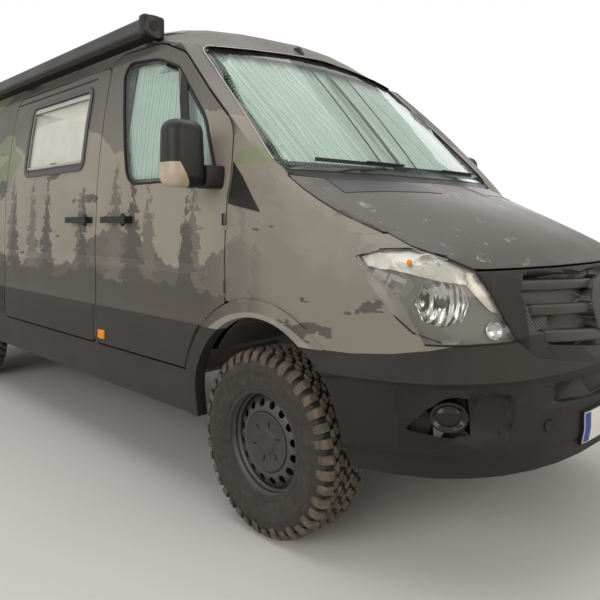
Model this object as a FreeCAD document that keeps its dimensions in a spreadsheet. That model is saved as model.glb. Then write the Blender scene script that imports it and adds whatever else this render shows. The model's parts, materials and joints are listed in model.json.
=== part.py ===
# Camper van on a medium wheelbase with a low roof, all-terrain tyres and a cassette awning.
# X points forward, Y to the vehicle's left and Z up, with the origin on the ground below
# the middle of the overall length. Millimetres.
import FreeCAD, Part
import Sketcher
import math
import os
from types import SimpleNamespace
from FreeCAD import Vector

os.makedirs("parts", exist_ok=True)
doc = FreeCAD.newDocument("CamperVan")

# Driving dimensions. Each is written once here and lives in the spreadsheet from then on.
DRIVING = {
    # overall
    "overall_length": 5926, "body_width": 1990, "front_overhang": 1004, "wheelbase": 3665,
    # heights of the body's lines above the ground
    "sill_height": 393, "door_sill": 603, "swage_height": 1133, "crease_height": 1358,
    "door_top": 2190, "slide_top": 2124, "gutter_height": 2284, "roof_height": 2430,
    # how far the side leans in from the widest line, at those heights
    "sill_lean": 35, "low_lean": 9, "swage_lean": 5, "crease_lean": 15, "slide_top_lean": 116,
    "gutter_lean": 195,
    # nose and tail in plan
    "nose_start": 400, "cab_nose_start": 900, "grille_rake": 79, "tail_round": 130, "tail_bow": 12,
    "tail_inset": 22, "slam_ahead": 805,
    # bonnet, windscreen and roof
    "bonnet_lip_ahead": 915, "bonnet_lip_height": 1110, "bonnet_mid_height": 1330,
    "bonnet_mid_ahead": 500, "bonnet_crown": 45, "cowl_ahead": 170, "cowl_height": 1452,
    "screen_top_back": 592, "screen_top_height": 2190, "screen_bulge": 12, "sweep_radius": 2300,
    "screen_foot_half": 861, "screen_head_half": 767, "roof_crown": 25,
    # walls, gaps and glass
    "wall": 45, "skin": 15, "shut_gap": 8, "trim_gap": 0.5, "flange_step": 14, "seat_gap": 0.3,
    "glass_thick": 5, "glass_set": 5, "moulding_proud": 8, "moulding_low": 607,
    "moulding_high": 807,
    # shut lines, behind the front axle
    "door_front_back": 194, "pillar_back": 1333, "slide_rear_back": 2693,
    "rear_door_half": 800, "rear_door_bottom": 612, "rear_door_top": 2240, "rear_door_gap": 10,
    # windows
    "window_sill": 1450, "camper_front_back": 1505, "camper_length": 885, "camper_low": 1556,
    "camper_high": 2050, "camper_frame": 32,
    # wheels
    "tyre_radius": 374, "tyre_width": 235, "rim_radius": 203, "rim_width": 178,
    "front_track": 1710, "rear_track": 1716, "kingpin_inset": 55, "stud_circle": 130,
    # wheel arches
    "arch_half": 410, "arch_height": 880, "flare_width": 72, "flare_proud": 8,
    "front_house_inner": 505, "rear_house_inner": 665, "liner_thick": 6, "house_half": 440,
    # awning
    "awning_front_back": 900, "awning_length": 3500, "awning_height": 112, "awning_depth": 96,
    # chassis, floor and power train
    "rail_height": 100, "rail_width": 60, "rail_wall": 6, "rail_half_gap": 415,
    "tow_side": 457, "tow_height": 550, "floor_top": 603,
    "floor_thick": 30, "engine_length": 560, "engine_width": 520, "engine_height": 560,
    "axle_tube_radius": 42, "exhaust_radius": 32, "propshaft_radius": 38,
    "knuckle_height": 300, "hub_radius": 75, "mirror_reach": 1213, "mirror_height": 290,
}

sheet = doc.addObject("Spreadsheet::Sheet", "Sizes")
for row, (alias, number) in enumerate(DRIVING.items(), 1):
    sheet.set(f"A{row}", alias)
    sheet.set(f"B{row}", str(number))
    sheet.setAlias(f"B{row}", alias)
doc.recompute()
s = SimpleNamespace(**{alias: float(getattr(sheet, alias)) for alias in DRIVING})

# Places that follow from the driving dimensions
NOSE = s.overall_length / 2
TAIL = -s.overall_length / 2
FRONT_AXLE = NOSE - s.front_overhang
REAR_AXLE = FRONT_AXLE - s.wheelbase
HALF = s.body_width / 2
FAR = 2 * s.overall_length
SIDES = {"left": 1, "right": -1}
PARTS = []


# Outlines, prisms and document objects

def rounded_wire(corners, place):
    """A closed wire through corners given as (u, v) or (u, v, radius), set in space by place."""
    edges = []
    count = len(corners)
    starts = []
    for index, corner in enumerate(corners):
        here = Vector(corner[0], corner[1], 0)
        radius = corner[2] if len(corner) > 2 else 0
        before = Vector(*corners[index - 1][:2], 0) - here
        after = Vector(*corners[(index + 1) % count][:2], 0) - here
        if radius:
            half_turn = before.getAngle(after) / 2
            reach = radius / math.tan(half_turn)
            entry = here + before.normalize() * reach
            leave = here + after.normalize() * reach
            inward = (before + after).normalize()
            middle = here + inward * (radius / math.sin(half_turn) - radius)
            starts.append((entry, middle, leave))
        else:
            starts.append((here, None, here))
    for index, (entry, middle, leave) in enumerate(starts):
        if middle is not None:
            edges.append(Part.Arc(place(entry), place(middle), place(leave)).toShape())
        following = starts[(index + 1) % count][0]
        if (following - leave).Length > 1e-6:
            edges.append(Part.LineSegment(place(leave), place(following)).toShape())
    return Part.Wire(edges)


def side_prism(corners, start=-FAR, stop=FAR, grow=0.0):
    """A block with an outline seen from the side, u along X and v along Z."""
    return grown_block(rounded_wire(corners, lambda p: Vector(p.x, start, p.y)), grow,
                       Vector(0, stop - start, 0))


def front_prism(corners, start=-FAR, stop=FAR, grow=0.0):
    """A block with an outline seen from the front, u along Y and v along Z."""
    return grown_block(rounded_wire(corners, lambda p: Vector(start, p.x, p.y)), grow,
                       Vector(stop - start, 0, 0))


def plan_prism(corners, start=-FAR, stop=FAR, grow=0.0):
    """A block with an outline seen from above, u along X and v along Y."""
    return grown_block(rounded_wire(corners, lambda p: Vector(p.x, p.y, start)), grow,
                       Vector(0, 0, stop - start))


def grown_block(wire, grow, path):
    if grow:
        wire = wire.makeOffset2D(grow, 0)
    return Part.Face(wire).extrude(path)


def slab(x_low, x_high, y_low, y_high, z_low, z_high):
    return Part.makeBox(x_high - x_low, y_high - y_low, z_high - z_low,
                        Vector(x_low, y_low, z_low))


def mirrored(shape):
    return shape.mirror(Vector(0, 0, 0), Vector(0, 1, 0))


def ahead(distance):
    """X of a place so far ahead of the front axle."""
    return FRONT_AXLE + distance


def keep(label, item):
    """Registers a document object as a sub-part, and so as a file."""
    item.Label = label
    PARTS.append(item)
    return item


def solid_part(label, shape):
    """A sub-part whose shape comes from the surfaces of the hull."""
    if shape.ShapeType == "Compound" and len(shape.Solids) == 1:
        shape = shape.Solids[0]
    item = doc.addObject("Part::Feature", label)
    item.Shape = shape
    return keep(label, item)


def bind(item, **expressions):
    for name, expression in expressions.items():
        item.setExpression(name.replace("__", "."), expression)
    return item


def sized_box(name, size, corner):
    """A box whose three sizes and lowest corner are expressions of the sheet."""
    item = doc.addObject("Part::Box", name)
    for name, expression in zip(("Length", "Width", "Height"), size):
        item.setExpression(name, expression)
    for axis, expression in zip("xyz", corner):
        item.setExpression("Placement.Base." + axis, expression)
    return item


def sized_rod(name, radius, length, foot, turn=None):
    """A cylinder by expressions; turn is the axis and angle that lay it down."""
    item = doc.addObject("Part::Cylinder", name)
    item.setExpression("Radius", radius)
    item.setExpression("Height", length)
    if turn:
        item.Placement.Rotation = FreeCAD.Rotation(turn[0], turn[1])
    for axis, expression in zip("xyz", foot):
        item.setExpression("Placement.Base." + axis, expression)
    return item


ALONG_X = (Vector(0, 1, 0), 90)
ALONG_Y = (Vector(1, 0, 0), -90)


def joined(name, items):
    item = doc.addObject("Part::MultiFuse", name)
    item.Shapes = items
    item.Refine = True
    return item


def taken_from(name, base, tool):
    item = doc.addObject("Part::Cut", name)
    item.Base = base
    item.Tool = tool
    return item


# The hull: a plan outline that changes with height, cut by a skin over the bonnet,
# windscreen and roof. Both take an inset, so that walls and glass follow the same form.

def lean(height):
    """How far the side stands in from the widest line at a height."""
    stations = [(0, 1.6 * s.sill_lean), (s.sill_height, s.sill_lean), (s.door_sill, s.low_lean),
                (s.swage_height, s.swage_lean), (s.crease_height, s.crease_lean)]
    for (low, lean_low), (high, lean_high) in zip(stations, stations[1:]):
        if height <= high:
            return lean_low + (lean_high - lean_low) * (height - low) / (high - low)
    if height <= s.slide_top:
        share = (height - s.crease_height) / (s.slide_top - s.crease_height)
        return s.crease_lean + (s.slide_top_lean - s.crease_lean) * share ** 1.6
    slope = (s.gutter_lean - s.slide_top_lean) / (s.gutter_height - s.slide_top)
    over = height - s.slide_top
    return s.slide_top_lean + slope * over + 0.0006 * over ** 2


def nose_tip(height):
    """X of the nose on the centreline: upright at the bumper, raked back over the grille."""
    bumper_middle = s.sill_height + 0.42 * (s.moulding_high - s.sill_height)
    if height <= bumper_middle:
        return NOSE - 22 * ((bumper_middle - height) / (bumper_middle - s.sill_height)) ** 2
    share = min(1.0, (height - bumper_middle) / (s.swage_height - bumper_middle))
    return NOSE - s.grille_rake * share ** 1.25


def sampled(points, count):
    """Evenly spaced points along the smooth curve through a few points."""
    curve = Part.BSplineCurve()
    curve.interpolate(points)
    return curve.toShape().discretize(Number=count + 1)


def polygon(points):
    return Part.makePolygon(points + [points[0]])


def plan_outline(height, inset):
    """The right half of the body's outline at a height: bowed tail, side and round nose."""
    half = HALF - lean(height) - inset
    cab_share = (height - s.swage_height) / (s.cowl_height - s.swage_height)
    cab_share = min(1.0, max(0.0, cab_share))
    start = ahead(-s.nose_start - cab_share * (s.cab_nose_start - s.nose_start))
    fullness = 5 - 2 * cab_share
    reach = nose_tip(height) - inset - start
    radius = s.tail_round - inset / 2
    back = TAIL + s.tail_inset + inset + s.tail_bow
    points = [Vector(back - s.tail_bow, 0, height),
              Vector(back - 0.75 * s.tail_bow, radius / 2 - half / 2, height)]
    for step in range(5):
        turn = math.radians(22.5 * step)
        points.append(Vector(back + radius * (1 - math.cos(turn)),
                             radius * (1 - math.sin(turn)) - half, height))
    for step in range(11):
        turn = math.radians(9 * step)
        points.append(Vector(start + reach * math.sin(turn) ** (2 / fullness),
                             -half * math.cos(turn) ** 0.8 if step < 10 else 0, height))
    return polygon(points)


def plan_solid(inset, low=None, high=None):
    """Half the body in plan, stacked so that the sill, swage and crease lines stay crisp."""
    bumper_top, grille_top = s.moulding_high + 60, s.swage_height - 130
    steps = [s.sill_height, s.sill_height + 107, s.door_sill, s.door_sill + 117, bumper_top,
             grille_top, s.swage_height, s.crease_height, s.cowl_height]
    rise = s.slide_top - s.cowl_height
    steps += [s.cowl_height + rise * share for share in (0.28, 0.56, 0.81)]
    steps += [s.slide_top, s.gutter_height, s.roof_height + 40]
    low = s.sill_height if low is None else low
    high = s.roof_height + 40 if high is None else high
    levels = [low] + [step for step in steps if low + 1 < step < high - 1] + [high]
    return Part.makeLoft([plan_outline(height, inset) for height in levels], True, True)


PILLAR_EDGE = 790


def sweep_back(y):
    """How far the nose, windscreen and header fall back at a distance from the centreline."""
    return y * y / (2 * s.sweep_radius)


def skin_section(y, inset):
    """The side profile at one distance from the centreline, as a closed wire. Beyond the glass,
    the windscreen pillar keeps the depth of the glass's edge."""
    back = sweep_back(y)
    pillar_fill = max(0.0, back - sweep_back(PILLAR_EDGE))
    reach = abs(y) / s.rear_door_half
    crown = reach ** 2
    shoulder = max(0.0, (abs(y) - 800) / 150) ** 2
    roof_round = (s.roof_height - s.gutter_height - s.roof_crown) * reach ** 8
    dip = s.bonnet_crown * crown + 90 * shoulder

    def at(distance, height, sink=0.0):
        fill = pillar_fill if distance <= s.cowl_ahead else 0.0
        return Vector(ahead(distance) - back + fill, y, height - sink)

    lip = at(s.bonnet_lip_ahead, s.bonnet_lip_height, dip)
    middle_ahead = s.bonnet_mid_ahead
    between = (s.bonnet_lip_ahead + middle_ahead) / 2 + 60
    bonnet = [
        lip + Vector(60, 0, -95),
        lip,
        at(between, s.bonnet_mid_height - 0.47 * (between - middle_ahead), dip),
        at(middle_ahead, s.bonnet_mid_height, dip),
        at((middle_ahead + s.cowl_ahead) / 2, (s.bonnet_mid_height + s.cowl_height) / 2 + 2,
           dip * 0.6),
        at(s.cowl_ahead, s.cowl_height),
    ]
    run = s.cowl_ahead + s.screen_top_back
    rise = s.screen_top_height - s.cowl_height
    drop = 2 * s.roof_crown * crown
    head = at(-s.screen_top_back + drop * run / rise, s.screen_top_height, drop)
    normal = Vector(rise, 0, run).normalize()
    screen_middle = (bonnet[-1] + head) / 2 + normal * s.screen_bulge
    roof = [
        head,
        at(-750, s.roof_height - 130, 2 * s.roof_crown * crown + 0.3 * roof_round),
        at(-1200, s.roof_height - 45, 1.4 * s.roof_crown * crown + 0.85 * roof_round),
        at(-1850, s.roof_height - 6, s.roof_crown * crown + roof_round),
    ]
    ridge = [
        roof[-1],
        at(-3300, s.roof_height, s.roof_crown * crown + roof_round),
        at(-5200, s.roof_height - 24, s.roof_crown * crown + roof_round),
    ]

    def shifted(points):
        moved = []
        for index, point in enumerate(points):
            before = points[max(index - 1, 0)]
            after = points[min(index + 1, len(points) - 1)]
            along = (after - before).normalize()
            moved.append(point - Vector(along.z, 0, -along.x) * inset)
        return moved

    corner_normal = (Vector(rise, 0, run).normalize() + Vector(0.32, 0, 0.95)).normalize()
    if inset:
        cowl = bonnet[-1] - corner_normal * inset
        header = head - Vector(0.66, 0, 0.75) * inset
        bonnet = shifted(bonnet)[:-1] + [cowl]
        roof = [header] + shifted(roof)[1:-1] + [roof[-1] - Vector(0, 0, inset)]
        ridge = [roof[-1]] + [point - Vector(0, 0, inset) for point in ridge[1:]]
        screen_middle = screen_middle - normal * inset
    low = 0
    far_front = ahead(s.front_overhang + 300) - back
    points = sampled(bonnet, 9) + sampled([bonnet[-1], screen_middle, roof[0]], 4)[1:]
    points += sampled(roof, 7)[1:] + sampled(ridge, 4)[1:]
    points += [Vector(ridge[-1].x, y, low), Vector(far_front, y, low),
               Vector(far_front, y, bonnet[0].z)]
    return polygon(points)


def skin_solid(inset):
    """Everything below and behind the skin, lofted from the centreline past the right side."""
    stations = [-HALF * share for share in (0, 0.28, 0.5, 0.64, 0.73, 0.8, 0.88, 1.03)]
    return Part.makeLoft([skin_section(y, inset) for y in stations], True, True)


def hull(inset):
    return plan_solid(inset).common(skin_solid(inset))


outer_half = hull(0)
inner_half = hull(s.wall)
shell_half = outer_half.cut(inner_half)


def whole(half):
    """A piece across the centreline, from its right half."""
    joined_up = half.fuse(mirrored(half)).removeSplitter()
    return joined_up.Solids[0] if len(joined_up.Solids) == 1 else joined_up


def pane(region, low, high):
    """Glass set into the side, following its curve."""
    layer = plan_solid(s.glass_set, low, high).cut(plan_solid(s.glass_set + s.glass_thick,
                                                              low, high))
    return layer.common(region)


# Outlines of the openings, as corners with their radii

RIGHT = -FAR
DOOR_FRONT = ahead(-s.door_front_back)
PILLAR = ahead(-s.pillar_back)
SLIDE_REAR = ahead(-s.slide_rear_back)
HALF_GAP = s.shut_gap / 2

# The cab door's edge climbs the windscreen pillar beside the glass.
front_door_outline = [
    (DOOR_FRONT, s.door_sill, 30),
    (DOOR_FRONT, 1672, 150),
    (ahead(-606), 2064, 200),
    (ahead(-860), s.door_top - 20, 500),
    (PILLAR + HALF_GAP, s.door_top, 60),
    (PILLAR + HALF_GAP, s.door_sill, 40),
]
door_window_outline = [
    (ahead(-275), s.window_sill, 25),
    (ahead(-372), 1722, 260),
    (ahead(-642), 2003, 130),
    (ahead(-840), s.door_top - 110, 400),
    (PILLAR + 137, s.door_top - 70, 70),
    (PILLAR + 321, s.window_sill, 120),
]
# The upright bar that parts the front corner of the glass from the rest.
window_bar = [
    (ahead(-668), 2060),
    (ahead(-600), 2060),
    (ahead(-425), s.window_sill - 20),
    (ahead(-485), s.window_sill - 20),
]
sliding_door_outline = [
    (SLIDE_REAR, s.door_sill, 50),
    (SLIDE_REAR, s.slide_top, 90),
    (PILLAR - HALF_GAP, s.slide_top, 40),
    (PILLAR - HALF_GAP, s.door_sill, 40),
]
CAMPER_FRONT = ahead(-s.camper_front_back)
camper_outline = [
    (CAMPER_FRONT, s.camper_low, 70),
    (CAMPER_FRONT, s.camper_high, 70),
    (CAMPER_FRONT - s.camper_length, s.camper_high, 70),
    (CAMPER_FRONT - s.camper_length, s.camper_low, 70),
]
rear_door_outline = [
    (-s.rear_door_half, s.rear_door_bottom, 40),
    (-s.rear_door_half, s.crease_height, 200),
    (-s.rear_door_half + 70, s.rear_door_top, 110),
    (s.rear_door_half - 70, s.rear_door_top, 110),
    (s.rear_door_half, s.crease_height, 200),
    (s.rear_door_half, s.rear_door_bottom, 40),
]
screen_outline = [
    (-s.screen_foot_half, s.cowl_height + 22, 60),
    (-s.screen_head_half, s.screen_top_height - 62, 70),
    (0, s.screen_top_height - 8, 3000),
    (s.screen_head_half, s.screen_top_height - 62, 70),
    (s.screen_foot_half, s.cowl_height + 22, 60),
    (0, s.cowl_height + 12, 6000),
]
bonnet_plan = [
    (ahead(s.cowl_ahead + 34), 0),
    (ahead(s.cowl_ahead + 20), -300),
    (ahead(s.cowl_ahead - 40), -600),
    (ahead(22), -836, 20),
    (ahead(322), -822, 900),
    (ahead(650), -778, 300),
    (ahead(850), -700, 120),
    (NOSE + 200, -640),
    (NOSE + 200, 0),
]
GRILLE_TOP = 1088
bonnet_side = [
    (ahead(-60), 1700),
    (ahead(-60), 1280),
    (ahead(560), GRILLE_TOP + 45),
    (ahead(760), GRILLE_TOP + s.shut_gap, 60),
    (NOSE + 200, GRILLE_TOP + s.shut_gap),
    (NOSE + 200, 1700),
]
LAMP_EDGE = [(-690, 1095), (-622, 942), (-575, 850)]
lamp_front = [
    (-800, 1300),
    (-792, 1172),
    LAMP_EDGE[0],
    (*LAMP_EDGE[1], 80),
    LAMP_EDGE[2],
    (-770, 846, 200),
    (-1100, 862),
    (-1100, 1300),
]
lamp_side = [
    (ahead(440), 1215),
    (ahead(455), 1150, 10),
    (ahead(610), 1020, 80),
    (ahead(700), 840),
    (NOSE + 50, 700),
    (NOSE + 50, 1215),
]
GRILLE_FOOT = [(-505, 790), (0, 702)]
grille_front = [
    (0, GRILLE_TOP),
    (LAMP_EDGE[0][0] + s.trim_gap, GRILLE_TOP),
    (LAMP_EDGE[1][0] + s.trim_gap, LAMP_EDGE[1][1], 80),
    (LAMP_EDGE[2][0] + s.trim_gap, LAMP_EDGE[2][1]),
    (*GRILLE_FOOT[0], 60),
    GRILLE_FOOT[1],
]
bumper_front = [
    (0, 200),
    (GRILLE_FOOT[1][0], GRILLE_FOOT[1][1] - s.trim_gap),
    (GRILLE_FOOT[0][0], GRILLE_FOOT[0][1] - s.trim_gap, 60),
    (LAMP_EDGE[2][0], LAMP_EDGE[2][1] - s.trim_gap),
    (-770, 846 - s.trim_gap, 200),
    (-960, 800, 200),
    (-1200, 790),
    (-1200, 200),
]


def arch_outline(axle, grow=0.0, slant=0.0):
    """A wheel opening: a half circle on legs, of which the front one may slant forward."""
    half = s.arch_half + grow
    crown = s.arch_height + grow
    return [(axle - half, 0), (axle - half, crown, half - 1), (axle + half, crown, half - 1),
            (axle + half, crown - half - 5), (axle + half + slant, 0)]


FRONT_SLANT = 180


side_core = plan_solid(s.wall + 15)
side_skin = plan_solid(0).cut(plan_solid(s.skin))
side_flange = plan_solid(s.skin).cut(plan_solid(s.wall))


def opening_block(outline, gap):
    """What a door takes out of the right side, leaving the middle of the body alone."""
    return side_prism(outline, RIGHT, 0, gap).cut(side_core)


# Pressed doors: an outer skin to the shut line, and an inner frame stepped in behind it

def pressed_door(outline, prism, start, stop):
    skin_piece = side_skin.common(prism(outline, start, stop))
    frame_piece = side_flange.common(prism(outline, start, stop, -s.flange_step))
    return skin_piece.fuse(frame_piece)


def moulding(outline, grow=0.0):
    """The rubbing strip that stands proud along the foot of a panel."""
    low, high = s.moulding_low, s.moulding_high
    proud = plan_solid(-s.moulding_proud, low, high)
    strip = proud.cut(plan_solid(0.0, low, high))
    return strip.common(side_prism(outline, RIGHT, 0, grow))


PIN, SLEEVE, HINGE = 3.0, 3.9, 70


def hinge(x, y, low, body_leaf, door_leaf):
    """An outside hinge: the pin with its leaf on the body, and the sleeve with the door's leaf.
    Each leaf is given as its low and high X and Y."""
    split = low + 20
    pin = Part.makeCylinder(PIN, HINGE, Vector(x, y, low))
    pin = pin.fuse(slab(*body_leaf, low, split - 0.3))
    sleeve = Part.makeCylinder(SLEEVE, HINGE - 20, Vector(x, y, split))
    sleeve = sleeve.fuse(slab(*door_leaf, split, low + HINGE))
    bore = Part.makeCylinder(PIN + 0.05, HINGE + 20, Vector(x, y, low - 10))
    return pin, sleeve.cut(bore)


front_arch = side_prism(arch_outline(FRONT_AXLE, 0, FRONT_SLANT), RIGHT, -s.front_house_inner)
front_flare = side_prism(arch_outline(FRONT_AXLE, s.flare_width), RIGHT, -s.front_house_inner)
front_flare = front_flare.cut(slab(FRONT_AXLE, NOSE + 100, -FAR, 0, -10, s.arch_height + 200))
rear_arch = side_prism(arch_outline(REAR_AXLE), RIGHT, -s.rear_house_inner)
tail_opening = front_prism(rear_door_outline, TAIL - 100, TAIL + 400, s.rear_door_gap)
screen_block = front_prism(screen_outline, ahead(-1100), ahead(600))
camper_block = side_prism(camper_outline, RIGHT, 0)

rear_flare_block = slab(REAR_AXLE - 700, REAR_AXLE + 700, -HALF - 50, 0, 0, 1200)

# Cab doors and their glass
front_door = pressed_door(front_door_outline, side_prism, RIGHT, 0)
front_door = front_door.cut(side_prism(door_window_outline, RIGHT, 0))
door_arch = side_prism(arch_outline(FRONT_AXLE, s.flare_width + s.shut_gap), RIGHT, 0)
door_foot = [(DOOR_FRONT - 14, s.moulding_low), (DOOR_FRONT - 14, s.moulding_high),
             (PILLAR + HALF_GAP + 14, s.moulding_high), (PILLAR + HALF_GAP + 14, s.moulding_low)]
strip_arch = side_prism(arch_outline(FRONT_AXLE, s.flare_width + 2 * s.shut_gap), RIGHT, 0)
front_door = front_door.cut(door_arch)
front_door = max(front_door.Solids, key=lambda solid: solid.Volume)
front_door = front_door.fuse(moulding(door_foot).cut(strip_arch))
bar = plan_solid(0, s.window_sill - 40, s.gutter_height).cut(
    plan_solid(s.glass_set - s.seat_gap, s.window_sill - 40, s.gutter_height))
bar = bar.common(side_prism(window_bar, RIGHT, 0)).common(
    side_prism(door_window_outline, RIGHT, 0, s.glass_set))
front_door = front_door.fuse(bar)
HANDLE_HEIGHT, HANDLE_LENGTH, HANDLE_REACH = 1272, 255, 34


def handle(middle):
    """A bar handle on two feet, standing off the side."""
    low, high = HANDLE_HEIGHT - 17, HANDLE_HEIGHT + 17
    back, front = middle - HANDLE_LENGTH / 2, middle + HANDLE_LENGTH / 2
    bar = slab(back, front, -HALF - HANDLE_REACH, -HALF - HANDLE_REACH + 18, low, high)
    for start in (back, front - 30):
        bar = bar.fuse(slab(start, start + 30, -HALF - HANDLE_REACH, -HALF + 20, low, high))
    return bar


front_door = front_door.fuse(handle(ahead(-1072)))
door_axis = DOOR_FRONT + HALF_GAP
wing_pins = []
for low in (945, 1225):
    pin, sleeve = hinge(door_axis, -HALF, low,
                        (door_axis, DOOR_FRONT + s.shut_gap + 4, -HALF, -HALF + 25),
                        (DOOR_FRONT - 4, door_axis, -HALF, -HALF + 25))
    wing_pins.append(pin)
    front_door = front_door.fuse(sleeve)
door_glass = pane(side_prism(door_window_outline, RIGHT, 0, -s.seat_gap), s.window_sill - 40,
                  s.gutter_height)

# Sliding door with its camper window
sliding_door = pressed_door(sliding_door_outline, side_prism, RIGHT, 0).cut(camper_block)
slide_foot = [(SLIDE_REAR + 14, s.moulding_low), (SLIDE_REAR + 14, s.moulding_high),
              (PILLAR - HALF_GAP - 14, s.moulding_high), (PILLAR - HALF_GAP - 14, s.moulding_low)]
sliding_door = sliding_door.fuse(moulding(slide_foot))
arm_low, arm_high = s.crease_height - 18, s.crease_height + 18
roller_arm = plan_solid(s.wall + 2 * s.seat_gap, arm_low, arm_high).cut(
    plan_solid(s.wall + 16, arm_low, arm_high)).common(
    slab(SLIDE_REAR - 70, SLIDE_REAR + 60, -HALF, 0, arm_low, arm_high))
roller_arm = roller_arm.fuse(plan_solid(s.wall - 4, arm_low, arm_high).cut(
    plan_solid(s.wall + 16, arm_low, arm_high)).common(
    slab(SLIDE_REAR + 20, SLIDE_REAR + 60, -HALF, 0, arm_low, arm_high)))
sliding_door = sliding_door.fuse(roller_arm).fuse(handle(ahead(-1500)))
frame_low, frame_high = s.camper_low - 60, s.camper_high + 40
camper_ring = plan_solid(-s.moulding_proud, frame_low, frame_high).cut(
    plan_solid(s.wall, frame_low, frame_high))
camper_window = camper_ring.common(side_prism(camper_outline, RIGHT, 0, -s.seat_gap))
camper_window = camper_window.cut(side_prism(camper_outline, RIGHT, 0, -s.camper_frame))
camper_pane = plan_solid(s.seat_gap, frame_low, frame_high).cut(
    plan_solid(s.seat_gap + s.glass_thick, frame_low, frame_high))
camper_pane = camper_pane.common(side_prism(camper_outline, RIGHT, 0,
                                            -s.camper_frame - s.seat_gap))

# Rear doors: one half each, outside hinges at the corner posts
rear_door = pressed_door(rear_door_outline, front_prism, TAIL - 100, TAIL + 400)
rear_door = rear_door.common(slab(TAIL - 100, TAIL + 300, -HALF, -HALF_GAP, 0, 2500))
rear_axis_x = TAIL + s.tail_inset + s.tail_bow - 10
rear_axis_y = -s.rear_door_half - s.rear_door_gap / 2
tail_pins = []
for low in (740, 1150):
    pin, sleeve = hinge(rear_axis_x, rear_axis_y, low,
                        (rear_axis_x, rear_axis_x + 22, rear_axis_y - 10, rear_axis_y),
                        (rear_axis_x, rear_axis_x + 22, rear_axis_y, rear_axis_y + 12))
    tail_pins.append(pin)
    rear_door = rear_door.fuse(sleeve)

# Bonnet
bonnet_block = plan_prism(bonnet_plan, 900, 1800).common(side_prism(bonnet_side, RIGHT, 0))
lamp_block = front_prism(lamp_front, ahead(300), NOSE + 50).common(
    side_prism(lamp_side, RIGHT, -400))
grown_lamp = front_prism(lamp_front, ahead(300), NOSE + 50, s.trim_gap).common(
    side_prism(lamp_side, RIGHT, -400, s.trim_gap))
lamp_clearance = front_prism(lamp_front, ahead(300), NOSE + 50, s.shut_gap).common(
    side_prism(lamp_side, RIGHT, -400, s.shut_gap))
bonnet_half = shell_half.common(bonnet_block).cut(lamp_clearance)
grown_bonnet = plan_prism(bonnet_plan[1:-1] + [(NOSE + 200, 20), (ahead(s.cowl_ahead + 34), 20)],
                          900, 1800, s.shut_gap).common(
    side_prism(bonnet_side, RIGHT, 20, s.shut_gap))

# Nose: lamps, grille and bumper
headlamp = shell_half.common(lamp_block)
nose_shell = shell_half.common(slab(ahead(s.arch_half), NOSE + 50, -HALF - 50, 0, 0, 1200))
grille_block = front_prism(grille_front, ahead(500), NOSE + 50)
bumper_block = front_prism(bumper_front, ahead(0), NOSE + 50)
grille_half = nose_shell.common(grille_block).cut(grown_lamp)

# Grille: three slats set back in an opening, the sheet behind them and a plain round plate
OPENING_DEPTH, SLAT_SET = 36, 8
grille_opening = front_prism([
    (0, GRILLE_TOP - 20), (-512, GRILLE_TOP - 18, 18), (-538, 1010, 60), (-498, 905),
    (-442, 828, 45), (0, 766)], ahead(500), NOSE + 50)
slats = []
for outer_foot, middle_foot, depth in ((1025, 1000, 28), (941, 906, 30), (851, 798, 36)):
    slats.append(front_prism([(-620, outer_foot), (0, middle_foot), (0, middle_foot + depth),
                              (-620, outer_foot + depth)], ahead(500), NOSE + 50))
nose_rest = slab(ahead(s.arch_half), NOSE + 50, -HALF - 50, 0, s.sill_height, 1200)
behind_slats = outer_half.common(nose_rest).cut(hull(OPENING_DEPTH)).common(grille_opening)
before_slats = outer_half.common(nose_rest).cut(hull(SLAT_SET)).common(grille_opening)
for slat in slats:
    behind_slats = behind_slats.cut(slat)
grille_half = grille_half.cut(behind_slats).cut(before_slats)
BADGE_RADIUS, BADGE_HEIGHT = 115, 930
badge = Part.makeCylinder(BADGE_RADIUS, 48, Vector(nose_tip(BADGE_HEIGHT) - OPENING_DEPTH - 6, 0,
                                                   BADGE_HEIGHT), Vector(1, 0, 0.1))
grille_half = grille_half.fuse(badge.common(slab(0, NOSE, -HALF, 0, 0, 1200)))

# Bumper, from the wheel opening to the middle: hollows for the air intake and the fog lamp
bumper_half = shell_half.common(bumper_block).common(
    slab(ahead(100), NOSE + 50, -HALF - 50, 0, 0, 1200)).cut(front_arch)
INTAKE_DEPTH, FOG_DEPTH, FOG_RADIUS = 30, 20, 62
intake = front_prism([(0, 672), (-400, 690, 30), (-472, 645, 20), (-380, 618), (0, 596)],
                     ahead(500), NOSE + 50)
fog_hollow = front_prism([(-884, 562, 12), (-838, 652, 60), (-700, 678, 200), (-590, 672, 30),
                          (-622, 545, 30), (-800, 540, 150)], ahead(500), NOSE + 50)
bumper_skin = outer_half.common(nose_rest)
bumper_half = bumper_half.cut(bumper_skin.cut(hull(INTAKE_DEPTH)).common(intake))
bumper_half = bumper_half.cut(bumper_skin.cut(hull(FOG_DEPTH)).common(fog_hollow))
fog_lamp = Part.makeCylinder(FOG_RADIUS, 52, Vector(ahead(733), -780, 614), Vector(1, 0, 0))
bumper_half = bumper_half.fuse(fog_lamp.cut(Part.makeCylinder(
    FOG_RADIUS - 18, 20, Vector(ahead(775), -780, 614), Vector(1, 0, 0))))

# Strips around the wheel openings, proud of the panels that they sit on
def flare(axle, block):
    low, high = s.sill_height, s.arch_height + s.flare_width
    strip = plan_solid(-s.flare_proud, low, high).cut(plan_solid(0.0, low, high))
    return strip.common(side_prism(arch_outline(axle, s.flare_width), RIGHT, 0)).common(block)


# The black corner cover ahead of the door glass belongs to the side, the wing starts below it
TRIANGLE_LOW, TRIANGLE_TIP = 1328, 1296

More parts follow.
